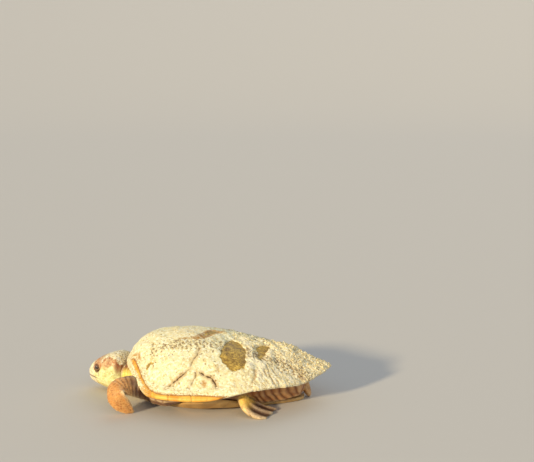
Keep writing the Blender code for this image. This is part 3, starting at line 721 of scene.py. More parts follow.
def paint_of(*card):
    return np.array(pigment(*card)[:3])


def lerp(first, second, share):
    return first + (second - first) * np.asarray(share)[..., None]


def bend_of(points, normals, edges, rounds):
    """How far the skin stands above its own average: positive on edges and ridges."""
    return ((points - blur(points, edges, rounds)) * normals).sum(axis=1)


def eye_axes(sign):
    """Where an eye is, and which way it looks, in the turtle's axes: out, back along the lids, up."""
    centre = np.array(HEAD_AXES @ Vector((EYE_PLACE[0], sign * EYE_PLACE[1], EYE_PLACE[2])))
    turn = HEAD_AXES.to_3x3()
    out = Vector((-0.24, sign * 0.93, 0.20)).normalized()
    back = Vector((1, 0, -0.27))
    back = (back - out * back.dot(out)).normalized()
    up = Vector((0, 0, 1))
    up = (up - out * up.dot(out) - back * up.dot(back)).normalized()
    return centre, *(np.array(turn @ v) for v in (out, back, up))


def shape_eye(points, sign):
    """Opens the lids round one eye and folds the skin about them. Returns what is inside the lids and
    how near the lids each point is."""
    centre, out, back, up = eye_axes(sign)
    off = points - centre
    along, high, deep = off @ back, off @ up, off @ out
    oval = np.hypot(along / EYE_OPENING[0], high / EYE_OPENING[1])
    near = (deep > -0.004) & (oval < 3.4)
    reach = np.linalg.norm(off, axis=1)
    flank = np.sqrt(np.maximum(EYE_RADIUS**2 - along**2 - high**2, 0))
    lid = flank + 0.0011 + 0.0012 * bell(oval, 0.10, 1.16) - 0.0008 * bell(oval, 0.10, 1.45)
    brow = 0.0022 * bell(oval, 0.30, 1.9) * ease(high, 0.002, 0.012)
    hug = 1 - ease(oval, 1.25, 2.3)
    target = np.where(oval < 1, flank - 0.0060 * (1 - ease(oval, 0.80, 1.0)) - 0.0006, lid)
    moved = deep + (target - deep) * np.where(oval < 1, 1, hug) + brow * ease(oval, 1.0, 1.5)
    points[near] += ((moved - deep)[:, None] * out)[near]
    # A dark patch round the lids: partly the skin's own colour, partly painted shade in the socket.
    stain = 1 - ease(np.hypot(along / 0.0185, (high + 0.003) / 0.0175), 0.95, 1.35)
    return near & (oval < 1.0) & (reach < 0.03), np.where(near, stain, 0), oval, near


def mouth_line(back):
    """Height of the line between the jaws, which turns down at the corner of the mouth."""
    return 0.0562 - 0.052 * back - 0.010 * ease(back, 0.088, 0.112)


def swell(points, size, seed=0.0):
    """Smooth random humps of about the given size, from -1 to 1."""
    shift = Vector((seed, seed * 1.7, -seed))
    return np.array([noise.noise(Vector(p) / size + shift) for p in points])


def folds(across, spacing, points, seed):
    """Soft rounded folds of skin at a spacing, bent by noise: -1 in the crease and 1 on the fold."""
    bent = across / spacing * 2 * math.pi + 1.6 * swell(points, spacing * 3, seed)
    return 2 * np.abs(np.sin(bent / 2)) ** 0.7 - 1


def sculpt_head(points, is_head, is_neck):
    """Plates, mouth, nostrils and throat folds. Returns each point's height and its dark seams."""
    back, angle, _ = round_head(points)
    _, side, up = in_head(points).T
    seam_gap = plate_seams(points)
    size = np.abs(angle)
    tiled = is_head * ease(back, 0.010, 0.020) * (1 - ease(back, 0.176, 0.192))
    tiled = tiled * (1 - ease(size, 118, 142))
    seam = bell(seam_gap, 0.0011) * tiled
    dome = ease(seam_gap, 0, 0.006) * tiled
    height = 0.0007 * dome - 0.0006 * seam
    gap = up - mouth_line(back)
    lips = is_head * ease(back, 0.004, 0.02) * (1 - ease(back, 0.104, 0.112)) * (np.abs(side) > 0.004)
    mouth = bell(gap, 0.0016) * lips
    height -= 0.0018 * mouth
    height += 0.0009 * bell(gap, 0.003, 0.0045) * lips
    nostril = np.zeros(len(points))
    for sign in (-1, 1):
        away = np.hypot((back - 0.0075) / 1.2, np.hypot(side - sign * 0.0075, up - 0.0905))
        nostril = np.maximum(nostril, bell(away, 0.0026) * is_head)
    height -= 0.0035 * nostril
    throat = ease(size, 110, 150) * (is_head * ease(back, 0.08, 0.15) + is_neck)
    wrinkle = folds(back, 0.011, points, 3)
    height += 0.0010 * wrinkle * throat
    collar = ease(back, 0.183, 0.200) * np.maximum(is_neck, is_head)
    height += 0.0024 * folds(back - 0.15 * side, 0.0175, points, 5) * collar
    return height, seam, mouth, nostril


def sculpt_front(share, across, top):
    """Finger ridges down the blade of a flipper, and folds where the arm bends."""
    blade = ease(share, 0.42, 0.60)
    height = 0.0011 * np.cos(across * 8.2 + 0.6) * blade * (1 - ease(share, 0.88, 1.0))
    height += 0.0012 * np.abs(np.sin(share * 52)) * ease(across, 0.72, 0.95) * blade
    return height - 0.0010 * ease(-across, 0.70, 0.95) * np.abs(np.sin(share * 41)) * blade * (top > 0)


def toe_wave(across):
    """1 on each of the five toes across a hind foot, and -1 between two toes."""
    return np.cos(across * math.pi * 2.4)


def sculpt_hind(share, across):
    """Five webbed toes, deepest between at the rim of the foot."""
    return 0.0030 * toe_wave(across) * ease(share, 0.52, 0.80)


def limb_places(points, near):
    """Where each point lies along its limb, across it and above it, and which kind of limb that is."""
    share, across, top = (np.zeros(len(points)) for _ in range(3))
    limb = np.array([""] * len(points), dtype=object)
    for name, plan in LIMBS.items():
        end, side = name.split("_")
        here = np.isin(near, [f"{solid}_{side}" for solid in LIMB_SOLIDS[end]])
        widths = FRONT_WIDTHS if end == "front" else HIND_WIDTHS
        share[here], across[here], top[here] = along_limb(points[here], plan, widths)
        limb[here] = end
    return share, across, top, limb


def tint(pair, card, share):
    """Draws both colours of the skin, between its scales and on them, towards one colour."""
    return tuple(lerp(colour, paint_of(*card), share) for colour in pair)


def over(pair, new, share):
    """Lays a new pair of such colours over the old pair by a share."""
    return lerp(pair[0], new[0], share), lerp(pair[1], new[1], share)


def head_colours(back, size, crown, patchy):
    """Bronze plates on the crown, and pale ones on the face, the snout and the jowls."""
    face = lerp(paint_of(246, 250, 208), paint_of(246, 230, 176), crown)
    bronze = lerp(paint_of(186, 110, 64), paint_of(216, 146, 90), patchy)
    plates = lerp(paint_of(244, 240, 158), bronze, crown)
    pair = tint((face, plates), (242, 242, 206), 1 - ease(back, 0.026, 0.052))
    return tint(pair, (238, 220, 150), ease(size, 112, 140))


def arm_colours(blade, upper, patchy):
    """An upper arm painted dark brown as painted shade, an amber blade, and a pale underside to both."""
    amber = lerp(paint_of(206, 130, 62), paint_of(228, 158, 82), patchy)
    # The upper arm's dark brown is painted shade.
    arm = lerp(paint_of(98, 62, 44), paint_of(226, 168, 96), blade), lerp(paint_of(78, 50, 40), amber, blade)
    return over((paint_of(236, 206, 146), paint_of(226, 186, 120)), arm, upper)


def leg_colours(share, across, upper):
    """A yellow thigh, a foot that is dark between its pale toes as painted shade in the grooves, and a pale
    underside to both.
    """
    foot = lerp(paint_of(84, 54, 38), paint_of(220, 186, 146), ease(toe_wave(across), -0.5, 0.6))
    thigh = paint_of(255, 212, 96), paint_of(255, 196, 84)
    leg = over(thigh, (foot, foot * 0.76), ease(share, 0.57, 0.78))
    return over((paint_of(234, 204, 142), paint_of(224, 188, 122)), leg, upper)


def smooth_skin():
    """The flesh as one smooth mesh, finer on the head and finest round the eyes."""
    mesh = swollen_flesh()
    points, _, edges = read_mesh(mesh)
    mesh.vertices.foreach_set("co", relax(points, edges, 30).ravel())
    mesh = thin_where_hidden(mesh)
    points, _, _ = read_mesh(mesh)
    back, _, _ = round_head(points)
    finer(mesh, (back < 0.212) & (back > -0.02))
    points, _, _ = read_mesh(mesh)
    eyes = [np.linalg.norm(points - eye_axes(sign)[0], axis=1) < 0.034 for sign in (-1, 1)]
    finer(mesh, eyes[0] | eyes[1])
    return mesh


def skin():
    """Sculpts the skin, then paints each part of it. Returns the finished mesh."""
    mesh = smooth_skin()
    points, normals, edges = read_mesh(mesh)
    near = nearest_solid(points)
    is_trunk = (near == "trunk") * 1.0
    points = points - normals * (SWELL * (1 - blur(is_trunk, edges, 4)))[:, None]
    is_head = blur(np.isin(near, ["head", "lower_jaw", *FILLED]) * 1.0, edges, 3)
    is_neck = blur((near == "neck") * 1.0, edges, 3)
    points = np.where((is_head > 0.5)[:, None], relax(points, edges, 10), points)
    under_horn = blur(np.isin(near, ["upper_beak", "lower_beak"]) * 1.0, edges, 1)

    opened, lids, socket = (np.zeros(len(points)) for _ in range(3))
    for sign in (-1, 1):
        inside, close, oval, by_eye = shape_eye(points, sign)
        opened, lids = np.maximum(opened, inside), np.maximum(lids, close)
        socket = np.maximum(socket, by_eye * (1 - ease(oval, 1.2, 2.5)))
    height, seam, mouth, nostril = sculpt_head(points, is_head, is_neck)
    quiet = 1 - np.maximum(socket, opened)
    height, seam = height * quiet, seam * quiet
    height = height - 0.0016 * under_horn

    share, across, top, limb = limb_places(points, near)
    is_front, is_hind = limb == "front", limb == "hind"
    front, hind = blur(is_front * 1.0, edges, 3), blur(is_hind * 1.0, edges, 3)
    upper = ease(top, -0.004, 0.004)
    height += sculpt_front(share, across, top) * is_front
    height += sculpt_hind(share, across) * is_hind
    elbow, knee = 1 - ease(share, 0.30, 0.46), 1 - ease(share, 0.34, 0.50)
    height += 0.0016 * folds(share * 0.4, 0.019, points, 7) * is_front * elbow
    height += 0.0014 * folds(share * 0.35, 0.016, points, 8) * is_hind * knee
    flank = is_trunk * ease(points[:, 0], 0.06, 0.14) * ease(points[:, 2], 0.012, 0.03)
    pleats = folds(points[:, 0] + 0.5 * np.abs(points[:, 1]), 0.021, points, 9)
    height += 0.0026 * pleats * flank
    chest = is_trunk * (1 - ease(points[:, 0], -0.30, -0.18))
    height += 0.0022 * folds(np.abs(points[:, 1]) + 0.5 * points[:, 2], 0.024, points, 2) * chest
    is_tail = (near == "tail") * 1.0
    height += 0.0012 * folds(points[:, 0] - points[:, 2] * 0.6, 0.010, points, 6) * is_tail
    points = points + normals * height[:, None]
    points[:, 2] = np.maximum(points[:, 2], 0.0004)
    mesh.vertices.foreach_set("co", points.ravel())
    mesh.update()
    points, normals, edges = read_mesh(mesh)
    bend = bend_of(points, normals, edges, 5)

    back, angle, _ = round_head(points)
    _, _, up = in_head(points).T
    size = np.abs(angle)
    crown = 1 - ease(size + 14 * swell(points, 0.02, 4), 60, 82)
    cap = (1 - ease(size + 16 * swell(points, 0.022, 6), 38, 50)) * ease(back, 0.074, 0.105)
    patchy = ease(swell(points, 0.016, 11), -0.25, 0.35)
    # The trunk's skin, and the start for every other part, is a dark brown that is painted shade for the skin
    # in the shell's shadow.
    plain = paint_of(122, 84, 62), paint_of(104, 68, 50)
    colours = over(plain, head_colours(back, size, crown, patchy), is_head)
    nape = lerp(paint_of(255, 234, 104), paint_of(158, 94, 42), 1 - ease(size, 42, 72))
    colours = over(colours, (nape, nape * 0.94), is_neck)
    collar = bell(back, 0.010, 0.187) * (1 - ease(size, 70, 96)) * np.maximum(is_head, is_neck)
    colours = tint(colours, (140, 80, 35), 0.85 * collar)
    # Pale streaks on the crests of the flank's folds are painted highlights.
    fold_highlight = ease(pleats, 0.45, 0.85) * ease(swell(points, 0.030, 13), -0.45, 0.10)
    folded = lerp(paint_of(162, 100, 50), paint_of(216, 156, 92), fold_highlight * ease(points[:, 0], 0.14, 0.19))
    colours = over(colours, (folded, folded * 0.85), is_trunk * ease(points[:, 0], 0.02, 0.12))
    blade = ease(share + 0.05 * swell(points, 0.02, 15), 0.12, 0.30)
    colours = over(colours, arm_colours(blade, upper, patchy), front)
    rims = front * ease(share, 0.40, 0.55) * np.maximum(ease(across, 0.86, 1.0), ease(-across, 0.80, 0.98))
    colours = tint(colours, (240, 214, 168), 0.8 * rims)
    colours = over(colours, leg_colours(share, across, upper), hind)
    colours = over(colours, (paint_of(232, 180, 110), paint_of(210, 136, 66)), is_tail)
    ring = lids * (1 - opened)
    streak = bell(back - 0.076 - 0.1 * (0.098 - up), 0.0058) * ease(up, 0.060, 0.068)
    streak = streak * (1 - ease(up, 0.082, 0.094)) * is_head
    # Brown lids and a tear streak below the eye, with painted shade in the socket round the eye and on the
    # skin behind the lids.
    stain = np.clip(0.92 * ring + 0.42 * streak + opened + 0.6 * socket * (1 - ring), 0, 1)
    colours = tint(colours, (108, 58, 30), stain)

    values = {
        "scaly": np.clip(0.9 * front * blade + 0.8 * hind + 0.8 * is_tail + 0.35 * is_neck, 0, 1),
        "fine": np.clip(is_neck + is_trunk + is_head + front * (1 - blade), 0, 1),
        "plated": seam,
        "tiled": is_head,
        # crease carries painted shade for the creases, mouth line and nostrils; ridge carries a pale that is
        # partly wear and partly painted highlight.
        "crease": np.clip(ease(-bend, 0.0002, 0.0014) * (1 - 0.75 * is_neck) + 0.25 * mouth + nostril, 0, 1),
        "ridge": ease(bend, 0.0002, 0.0016),
        "sand": is_head * (0.92 * cap + 0.03 * crown) + 0.03 * front * blade + 0.04 * hind + 0.08 * is_tail,
    }
    for name, value in values.items():
        mesh.attributes.new(name, "FLOAT", "POINT").data.foreach_set("value", blur(value * 1.0, edges, 1))
    for name, colour in zip(("paint", "scale"), colours):
        rgba = np.column_stack([blur(colour, edges, 3), np.ones(len(points))])
        mesh.attributes.new(name, "FLOAT_COLOR", "POINT").data.foreach_set("color", rgba.ravel())
    return mesh


def hide():
    """Scaly skin: paler between its scales, with painted shade in its creases, mouth line and nostrils, and
    pale on its ridges, partly wear and partly painted highlight.
    """
    made, tree, shader = new_material("hide")
    paint, scale = coloured(tree, "paint"), coloured(tree, "scale")
    large, small = grains(tree, 85, "DISTANCE_TO_EDGE"), grains(tree, 190, "DISTANCE_TO_EDGE")
    large_cell, small_cell = grains(tree, 85), grains(tree, 190)
    fine = own_value(tree, "fine")
    gap = lay(tree, "ShaderNodeMix", {0: fine, 2: large.outputs["Distance"], 3: small.outputs["Distance"]})
    cell = mix(tree, fine, large_cell.outputs["Color"], small_cell.outputs["Color"])
    tone = lay(tree, "ShaderNodeSeparateColor", {"Color": cell}).outputs[0]
    flat = ramp(tree, gap.outputs[0], 0.03, 0.14)
    tiles = times(tree, flat, own_value(tree, "scaly"))
    mottled = ramp(tree, cloud(tree, 46, 5, 0.65), 0.38, 0.64)
    off_seams = ramp(tree, own_value(tree, "plated"), 0.2, 0.8, 1.0, 0.0)
    on_head = times(tree, own_value(tree, "tiled"), off_seams)
    tiles = sums(tree, "MAXIMUM", tiles, times(tree, on_head, ramp(tree, mottled, 0, 1, 0.55, 1.0)))
    body = mix(tree, tiles, paint, scale)
    body = mix(tree, times(tree, ramp(tree, tone, 0.1, 0.9, 0.0, 0.35), tiles), body, pigment(96, 56, 30))
    body = mix(tree, times(tree, mottled, 0.16), body, pigment(120, 74, 40))
    freckle = ramp(tree, cloud(tree, 240, 3, 0.6), 0.60, 0.70, 0.0, 0.4)
    body = mix(tree, freckle, body, pigment(112, 68, 38))
    # Pale on the ridges: partly wear, partly painted highlight.
    body = mix(tree, times(tree, own_value(tree, "ridge"), 0.45), body, pigment(238, 212, 160))
    # Dark in the creases, the mouth line and the nostrils: painted shade.
    body = mix(tree, times(tree, own_value(tree, "crease"), 0.8), body, pigment(58, 34, 22))
    colour, cover, height = dusted(tree, body, own_value(tree, "sand"))
    dabs = ramp(tree, cloud(tree, 130, 4, 0.7), 0.53, 0.60, 0.0, 0.62)
    colour = mix(tree, times(tree, dabs, cover), colour, pigment(134, 104, 76))
    light = ramp(tree, cloud(tree, 75, 4, 0.6), 0.50, 0.60, 0.0, 0.75)
    colour = mix(tree, times(tree, light, cover), colour, pigment(255, 250, 228))
    tree.links.new(colour, shader.inputs["Base Color"])
    rough = ramp(tree, cloud(tree, 90, 3), 0.3, 0.7, 0.36, 0.56)
    tree.links.new(sums(tree, "MAXIMUM", rough, times(tree, cover, 0.9)), shader.inputs["Roughness"])
    raised = times(tree, tiles, 0.6)
    wrinkle = times(tree, cloud(tree, 300, 4, 0.65, 0.8), 0.35)
    raised = sums(tree, "ADD", sums(tree, "ADD", raised, wrinkle), times(tree, height, 0.8))
    relief(tree, shader, raised, 0.0011)
    return made


add_piece("skin", skin(), hide(), "body_skin", *FLESH)


# --- Eyes -----------------------------------------------------------------------------------------
# Large, dark and wet, each a ball set in its socket behind the lids: near-black pupil, brown iris.


def eyeball(sign):
    centre, out, _, _ = eye_axes(sign)
    bm = bmesh.new()
    bmesh.ops.create_uvsphere(bm, u_segments=48, v_segments=32, radius=EYE_RADIUS)
    gaze = bm.verts.layers.float.new("gaze")
    for v in bm.verts:
        v[gaze] = math.acos(min(max(v.co.normalized().dot(Vector(out)), -1), 1))
        v.co *= 1 + 0.035 * max(0, 1 - (v[gaze] / 0.62) ** 2)
    bmesh.ops.translate(bm, verts=bm.verts[:], vec=Vector(centre))
    return bm


def wet_eye():
    made, tree, shader = new_material("wet_eye")
    gaze = own_value(tree, "gaze")
    fibre = cloud(tree, 900, 4, 0.7, 1.0)
    iris = mix(tree, fibre, pigment(44, 24, 12), pigment(96, 58, 28))
    body = mix(tree, ramp(tree, gaze, 0.26, 0.32), pigment(8, 6, 5), iris)
    body = mix(tree, ramp(tree, gaze, 0.58, 0.74), body, pigment(30, 18, 12))
    tree.links.new(body, shader.inputs["Base Color"])
    shader.inputs["Roughness"].default_value = 0.12
    shader.inputs["Coat Weight"].default_value = 1.0
    shader.inputs["Coat Roughness"].default_value = 0.03
    return made


WET_EYE = wet_eye()
for side, sign in (("left", -1), ("right", 1)):
    add_piece(f"eyeball_{side}", eyeball(sign), WET_EYE, "eye", f"eye_{side}")


# --- Beak -----------------------------------------------------------------------------------------
# A turtle has no teeth: horn sheathes both jaws at the front. It is thick, cream-brown and chipped
# along the biting edge, and stands a little proud of the skin behind it.


def horn_cover(name, proud, longest=0.0022):
    """A solid made finer and rounder, and raised a little all over."""
    bm = own_copy(name)
    refine(bm, longest, 4)
    soften(bm, 4)
    bm.normal_update()
    for v in bm.verts:
        v.co += v.normal * proud
    return bm


def beak(name):
    bm = horn_cover(name, 0.0011)
    bm.normal_update()
    edge = bm.verts.layers.float.new("edge")
    turn = HEAD_AXES.inverted()
    for v in bm.verts:
        place = turn @ v.co
        gap = abs(place.z - float(mouth_line(place.x)))
        chips = noise.noise(v.co * 260) * 0.0006 + noise.noise(v.co * 90) * 0.0005
        v.co += v.normal * chips
        v[edge] = 1 - float(ease(gap, 0.001, 0.007))
    return bm


def beak_horn():
    made, tree, shader = new_material("beak_horn")
    grain = cloud(tree, 160, 6, 0.7, 1.4)
    body = mix(tree, ramp(tree, grain, 0.34, 0.66), pigment(228, 206, 156), pigment(250, 242, 212))
    body = mix(tree, ramp(tree, cloud(tree, 70, 4, 0.6), 0.54, 0.68, 0.0, 0.6), body, pigment(150, 104, 60))
    body = mix(tree, times(tree, own_value(tree, "edge"), 0.7), body, pigment(96, 62, 36))
    tree.links.new(body, shader.inputs["Base Color"])
    tree.links.new(ramp(tree, grain, 0.3, 0.7, 0.34, 0.52), shader.inputs["Roughness"])
    relief(tree, shader, grain, 0.0005)
    return made


BEAK_HORN = beak_horn()
for name in ("upper_beak", "lower_beak"):
    add_piece(f"{name}_horn", beak(name), BEAK_HORN, "beak_horn", name)


# --- Claws ----------------------------------------------------------------------------------------
# One short horny claw grows from the leading edge of every flipper.


def claw_horn():
    made, tree, shader = new_material("claw_horn")
    grain = cloud(tree, 420, 4, 0.7, 1.0)
    horny = mix(tree, grain, pigment(120, 82, 48), pigment(214, 176, 118))
    tree.links.new(horny, shader.inputs["Base Color"])
    shader.inputs["Roughness"].default_value = 0.38
    relief(tree, shader, grain, 0.0003)
    return made


CLAW_HORN = claw_horn()
for name in [f"{end}_claw_{side}" for end in ("front", "hind") for side in ("left", "right")]:
    add_piece(f"{name}_horn", horn_cover(name, 0.0006, 0.0016), CLAW_HORN, "claw_horn", name)


# --- Sand on the shell ----------------------------------------------------------------------------
# Damp beach sand has dried on the back in a crust about half a centimetre thick: smooth over the
# shoulders, clotted and crumbling over the hips. It has cracked, and has dropped off in places.
# It is laid in two halves that meet on the midline, each a closed skin of sand on the plates.

CRUST_GRID = (430, 185)  # steps of the net along the shell and from its middle out, on each half
LINING_GRID = (60, 26)
COMB_HEIGHT, RIDGE_HEIGHT = 0.0021, 0.0028
PIT_DEPTH, FURROW_DEPTH, BARE_DEPTH = 0.0013, 0.0036, 0.0066
WORN_FLOOR, CRACK_FLOOR = -0.0030, -0.0044  # how far wear and cracks go below the shell's face
SAND_MIDDLE = -0.050
BORDER_TURNS = np.linspace(0, math.pi, 721)
BARE_PATCHES = [  # outlines seen from above, where the sand has dropped off
    [(-0.009, -0.083), (0.010, -0.056), (0.042, -0.068), (0.076, -0.113), (0.079, -0.207), (0.080, -0.237),
     (0.040, -0.259), (0.006, -0.250), (-0.018, -0.225), (-0.030, -0.199), (-0.021, -0.137)],
    [(0.121, -0.085), (0.128, -0.059), (0.146, -0.042), (0.176, -0.043), (0.169, -0.076), (0.161, -0.105),
     (0.147, -0.131), (0.142, -0.157), (0.134, -0.152), (0.127, -0.117)],
    [(-0.118, -0.066), (-0.104, -0.024), (-0.088, 0.018), (-0.056, 0.022), (-0.070, -0.014),
     (-0.090, -0.046)],
    [(-0.346, -0.181), (-0.330, -0.178), (-0.308, -0.181), (-0.306, -0.185), (-0.323, -0.185),
     (-0.343, -0.187)],
    [(0.075, 0.180), (0.120, 0.160), (0.168, 0.178), (0.182, 0.222), (0.140, 0.248), (0.092, 0.232)],
    [(-0.262, 0.150), (-0.215, 0.132), (-0.160, 0.158), (-0.138, 0.205), (-0.172, 0.228), (-0.240, 0.212)],
    [(0.262, 0.058), (0.290, 0.046), (0.316, 0.066), (0.300, 0.092), (0.270, 0.086)],
]
STAINS = [  # outlines of thin, stained sand
    [(-0.160, -0.106), (-0.138, -0.062), (-0.110, -0.006), (-0.088, 0.030), (-0.030, 0.030), (-0.020, 0.000),
     (-0.060, -0.026), (-0.084, -0.060), (-0.108, -0.096), (-0.134, -0.110)],
    [(-0.220, -0.098), (-0.170, -0.092), (-0.130, -0.084), (-0.132, -0.096), (-0.170, -0.102),
     (-0.215, -0.106)],
    [(-0.420, -0.112), (-0.402, -0.116), (-0.380, -0.130), (-0.376, -0.156), (-0.394, -0.162),
     (-0.414, -0.142)],
    [(-0.096, -0.284), (-0.080, -0.286), (-0.074, -0.298), (-0.086, -0.302), (-0.098, -0.296)],
    [(0.120, 0.040), (0.160, 0.030), (0.180, 0.060), (0.150, 0.080)],
]
CRACKS = [
    [(-0.249, -0.283, 0.120), (-0.228, -0.274, 0.134), (-0.207, -0.270, 0.151)],
    [(-0.207, -0.270, 0.151), (-0.192, -0.266, 0.164), (-0.175, -0.259, 0.177)],
    [(-0.175, -0.259, 0.177), (-0.163, -0.251, 0.190), (-0.151, -0.248, 0.194), (-0.142, -0.218, 0.223)],
    [(-0.125, -0.260, 0.184), (-0.127, -0.274, 0.166), (-0.135, -0.280, 0.156), (-0.142, -0.291, 0.136)],
    [(-0.102, -0.264, 0.182), (-0.090, -0.271, 0.176), (-0.071, -0.279, 0.169)],
    [(-0.071, -0.279, 0.169), (-0.054, -0.284, 0.165), (-0.041, -0.296, 0.148), (-0.032, -0.308, 0.135)],
    [(-0.142, -0.218, 0.223), (-0.126, -0.199, 0.240), (-0.121, -0.171, 0.258)],
    [(-0.032, -0.247, 0.207), (-0.029, -0.266, 0.188)],
    [(0.043, -0.287, 0.160), (0.052, -0.319, 0.132)],
    [(-0.170, 0.256, 0.180), (-0.150, 0.272, 0.160), (-0.120, 0.278, 0.156), (-0.104, 0.300, 0.133)],
    [(0.060, 0.235, 0.196), (0.052, 0.266, 0.176), (0.036, 0.285, 0.158)],
]
CRACK_DEPTHS = [0.85, 1.0, 0.60, 0.65, 0.9, 1.0, 0.75, 0.5, 0.4, 0.8, 0.7]
FURROW = [(0.122, -0.230, 0.188), (0.127, -0.253, 0.169), (0.115, -0.284, 0.152), (0.112, -0.302, 0.136)]
RIDGES = [
    [(0.188, -0.039, 0.239), (0.163, -0.133, 0.212), (0.146, -0.208, 0.191), (0.137, -0.259, 0.162)],
    [(0.052, -0.029, 0.270), (0.090, -0.081, 0.250), (0.104, -0.154, 0.226), (0.097, -0.221, 0.202)],
]


def sand_border(turn):
    ragged = [noise.noise((t * 9, 3, 0)) * 0.09 + noise.noise((t * 34, 0, 5)) * 0.06 for t in turn]
    return bare_band(turn) + np.array(ragged)


def rim_top(turn, share):
    """Points of the plates' outer face, with sand, at shares of their width. Below 0 is underneath."""
    edge, width, rise = shell_edge(turn), plate_width(turn), plate_rise(turn)
    over = np.interp(share, [0, 0.12, 0.5, 1], [0.003, 0.28 * rise, 0.66 * rise, rise])
    under = np.interp(-share, [0, 0.08, 0.5], [0.003, -0.006, -0.011])
    inward = (np.abs(share) * width + edge_nick(turn))[:, None] * towards_crest(edge)
    return edge + inward + np.array([0, 0, 1]) * np.where(share < 0, under, over)[:, None]


def meridians(steps=200):
    """Lines down the outside of the shell, one a turn, with evenly spaced points from the middle of
    the back to the sand's border. The fourth number says how far each point is from the edge."""
    table = []
    for turn, border in zip(BORDER_TURNS, sand_border(BORDER_TURNS)):
        corner, share = inner_edge(turn), 1 - (1 - np.linspace(0, 1, 90)) ** 1.5
        x, y = SAND_MIDDLE + share * (corner[0] - SAND_MIDDLE), share * corner[1]
        out = 1 + np.hypot(x - corner[0], y - corner[1]) / 0.05
        back = np.stack([x, y, dome_height(x, y), out], axis=-1)
        across = np.linspace(1, border, 40)[1:]
        rim = np.column_stack([rim_top(turn, across), across])
        line = np.vstack([back, rim])
        way = np.r_[0, np.cumsum(np.linalg.norm(np.diff(line[:, :3], axis=0), axis=1))]
        even = np.linspace(0, way[-1], steps)
        table.append(np.column_stack([np.interp(even, way, column) for column in line.T] + [way[-1] - even]))
    return np.array(table)


MERIDIANS = meridians()


def on_shell(turn, share):
    """Reads the lines between their points. turn and share are arrays, share from the middle out."""
    across = turn / math.pi * (len(MERIDIANS) - 1)
    down = share * (MERIDIANS.shape[1] - 1)
    i = np.clip(across.astype(int), 0, len(MERIDIANS) - 2)
    j = np.clip(down.astype(int), 0, MERIDIANS.shape[1] - 2)
    s, t = (across - i)[:, None], (down - j)[:, None]
    near = MERIDIANS[i, j] * (1 - s) + MERIDIANS[i + 1, j] * s
    far = MERIDIANS[i, j + 1] * (1 - s) + MERIDIANS[i + 1, j + 1] * s
    return near * (1 - t) + far * t


def sheet_of_shell(sign, long_way, cross_way):
    """Half of the shell's outside as a square net, drawn round into a half disc, then laid on it."""
    bm = bmesh.new()
    bmesh.ops.create_grid(bm, x_segments=long_way, y_segments=cross_way, size=1)
    net = np.array([v.co for v in bm.verts])
    u, v = net[:, 0], (net[:, 1] + 1) / 2
    flat_x, flat_y = u * np.sqrt(1 - v * v / 2), v * np.sqrt(1 - u * u / 2)
    found = on_shell(np.arctan2(flat_y, -flat_x), np.clip(np.hypot(flat_x, flat_y), 0, 1))
    found[:, 1] *= sign
    for vert, point in zip(bm.verts, found):
        vert.co = point[:3]
    if sign < 0:
        bmesh.ops.reverse_faces(bm, faces=bm.faces[:])
    bm.normal_update()
    return bm, found


def clods(points, size, seed=0.0):
    """Irregular lumps of about the given size, with sharp creases between them: 0 in a crease."""
    return np.minimum(np.abs(swell(points, size, seed)) * 2.2, 1)


def combed(points):
    """Streaks where the sand was dragged down and back as it dried: -1 to 1, about 11 mm apart."""
    x, y, z = points.T
    across, along = (0.78 * x + 0.62 * y) / 0.011, (0.62 * x - 0.78 * y - 0.5 * z) / 0.060
    return swell(np.column_stack([across, along, z / 0.060]), 1.0, 12)


def distance_to_line(points, line):
    best = np.full(len(points), 9.0)
    for start, end in zip(line, line[1:]):
        a, b = np.array(start), np.array(end)
        along = np.clip(((points - a) @ (b - a)) / ((b - a) @ (b - a)), 0, 1)
        best = np.minimum(best, np.linalg.norm(points - a - along[:, None] * (b - a), axis=1))
    return best


def inside_outline(points, outline):
    """How far each point is inside an outline on the plan. Points outside come out negative."""
    place, best = points[:, :2], np.full(len(points), 9.0)
    inside = np.zeros(len(points), dtype=bool)
    for start, end in zip(outline, outline[1:] + outline[:1]):
        a, b = np.array(start), np.array(end)
        along = np.clip(((place - a) @ (b - a)) / ((b - a) @ (b - a)), 0, 1)
        best = np.minimum(best, np.linalg.norm(place - a - along[:, None] * (b - a), axis=1))
        crosses = (a[1] > place[:, 1]) != (b[1] > place[:, 1])
        level = (b[0] - a[0]) * (place[:, 1] - a[1]) / (b[1] - a[1] + 1e-9) + a[0]
        inside ^= crosses & (place[:, 0] < level)
    return np.where(inside, best, -best)


def bareness(points):
    """How thin the sand has worn, and how bare the plate is, both from 0 to 1."""
    ragged = 0.007 * swell(points, 0.026, 4) + 0.004 * swell(points, 0.009, 8)
    inside = np.max([inside_outline(points, patch) for patch in BARE_PATCHES], axis=0) + ragged
    return ease(inside, -0.020, 0.0), ease(inside, -0.0025, 0.0015)


def roughness_of_sand(points):
    """0 where the crust was smoothed as it dried, 1 where it is clotted. And how thickly dark grains lie."""
    x, side = points[:, 0], np.abs(points[:, 1])
    rear = ease(x + 0.06 * (1 - ease(side, 0.05, 0.15)), -0.02, 0.12) * (1.0 - 0.5 * ease(side, 0.13, 0.26))
    belt = bell(side, 0.036, 0.135) * ease(x, -0.38, -0.30)
    crumbs = 0.14 + 0.18 * swell(points, 0.06, 2)
    vary = 0.18 * swell(points, 0.035, 6)
    rough = np.clip(np.maximum(np.maximum(rear, 0.9 * belt), crumbs) + vary, 0, 1)
    high = 0.30 * ease(x, 0.02, 0.14) * (1 - ease(side, 0.10, 0.20))
    return rough, np.clip(np.maximum(belt, high) + 1.3 * vary, 0.06, 1)


def top_of_back(points):
    """The smooth, pinkish saddle of sand along the top, in front."""
    x, y = points[:, 0], points[:, 1]
    return np.exp(-(((x + 0.18) / 0.09) ** 2) - (y / 0.085) ** 2)


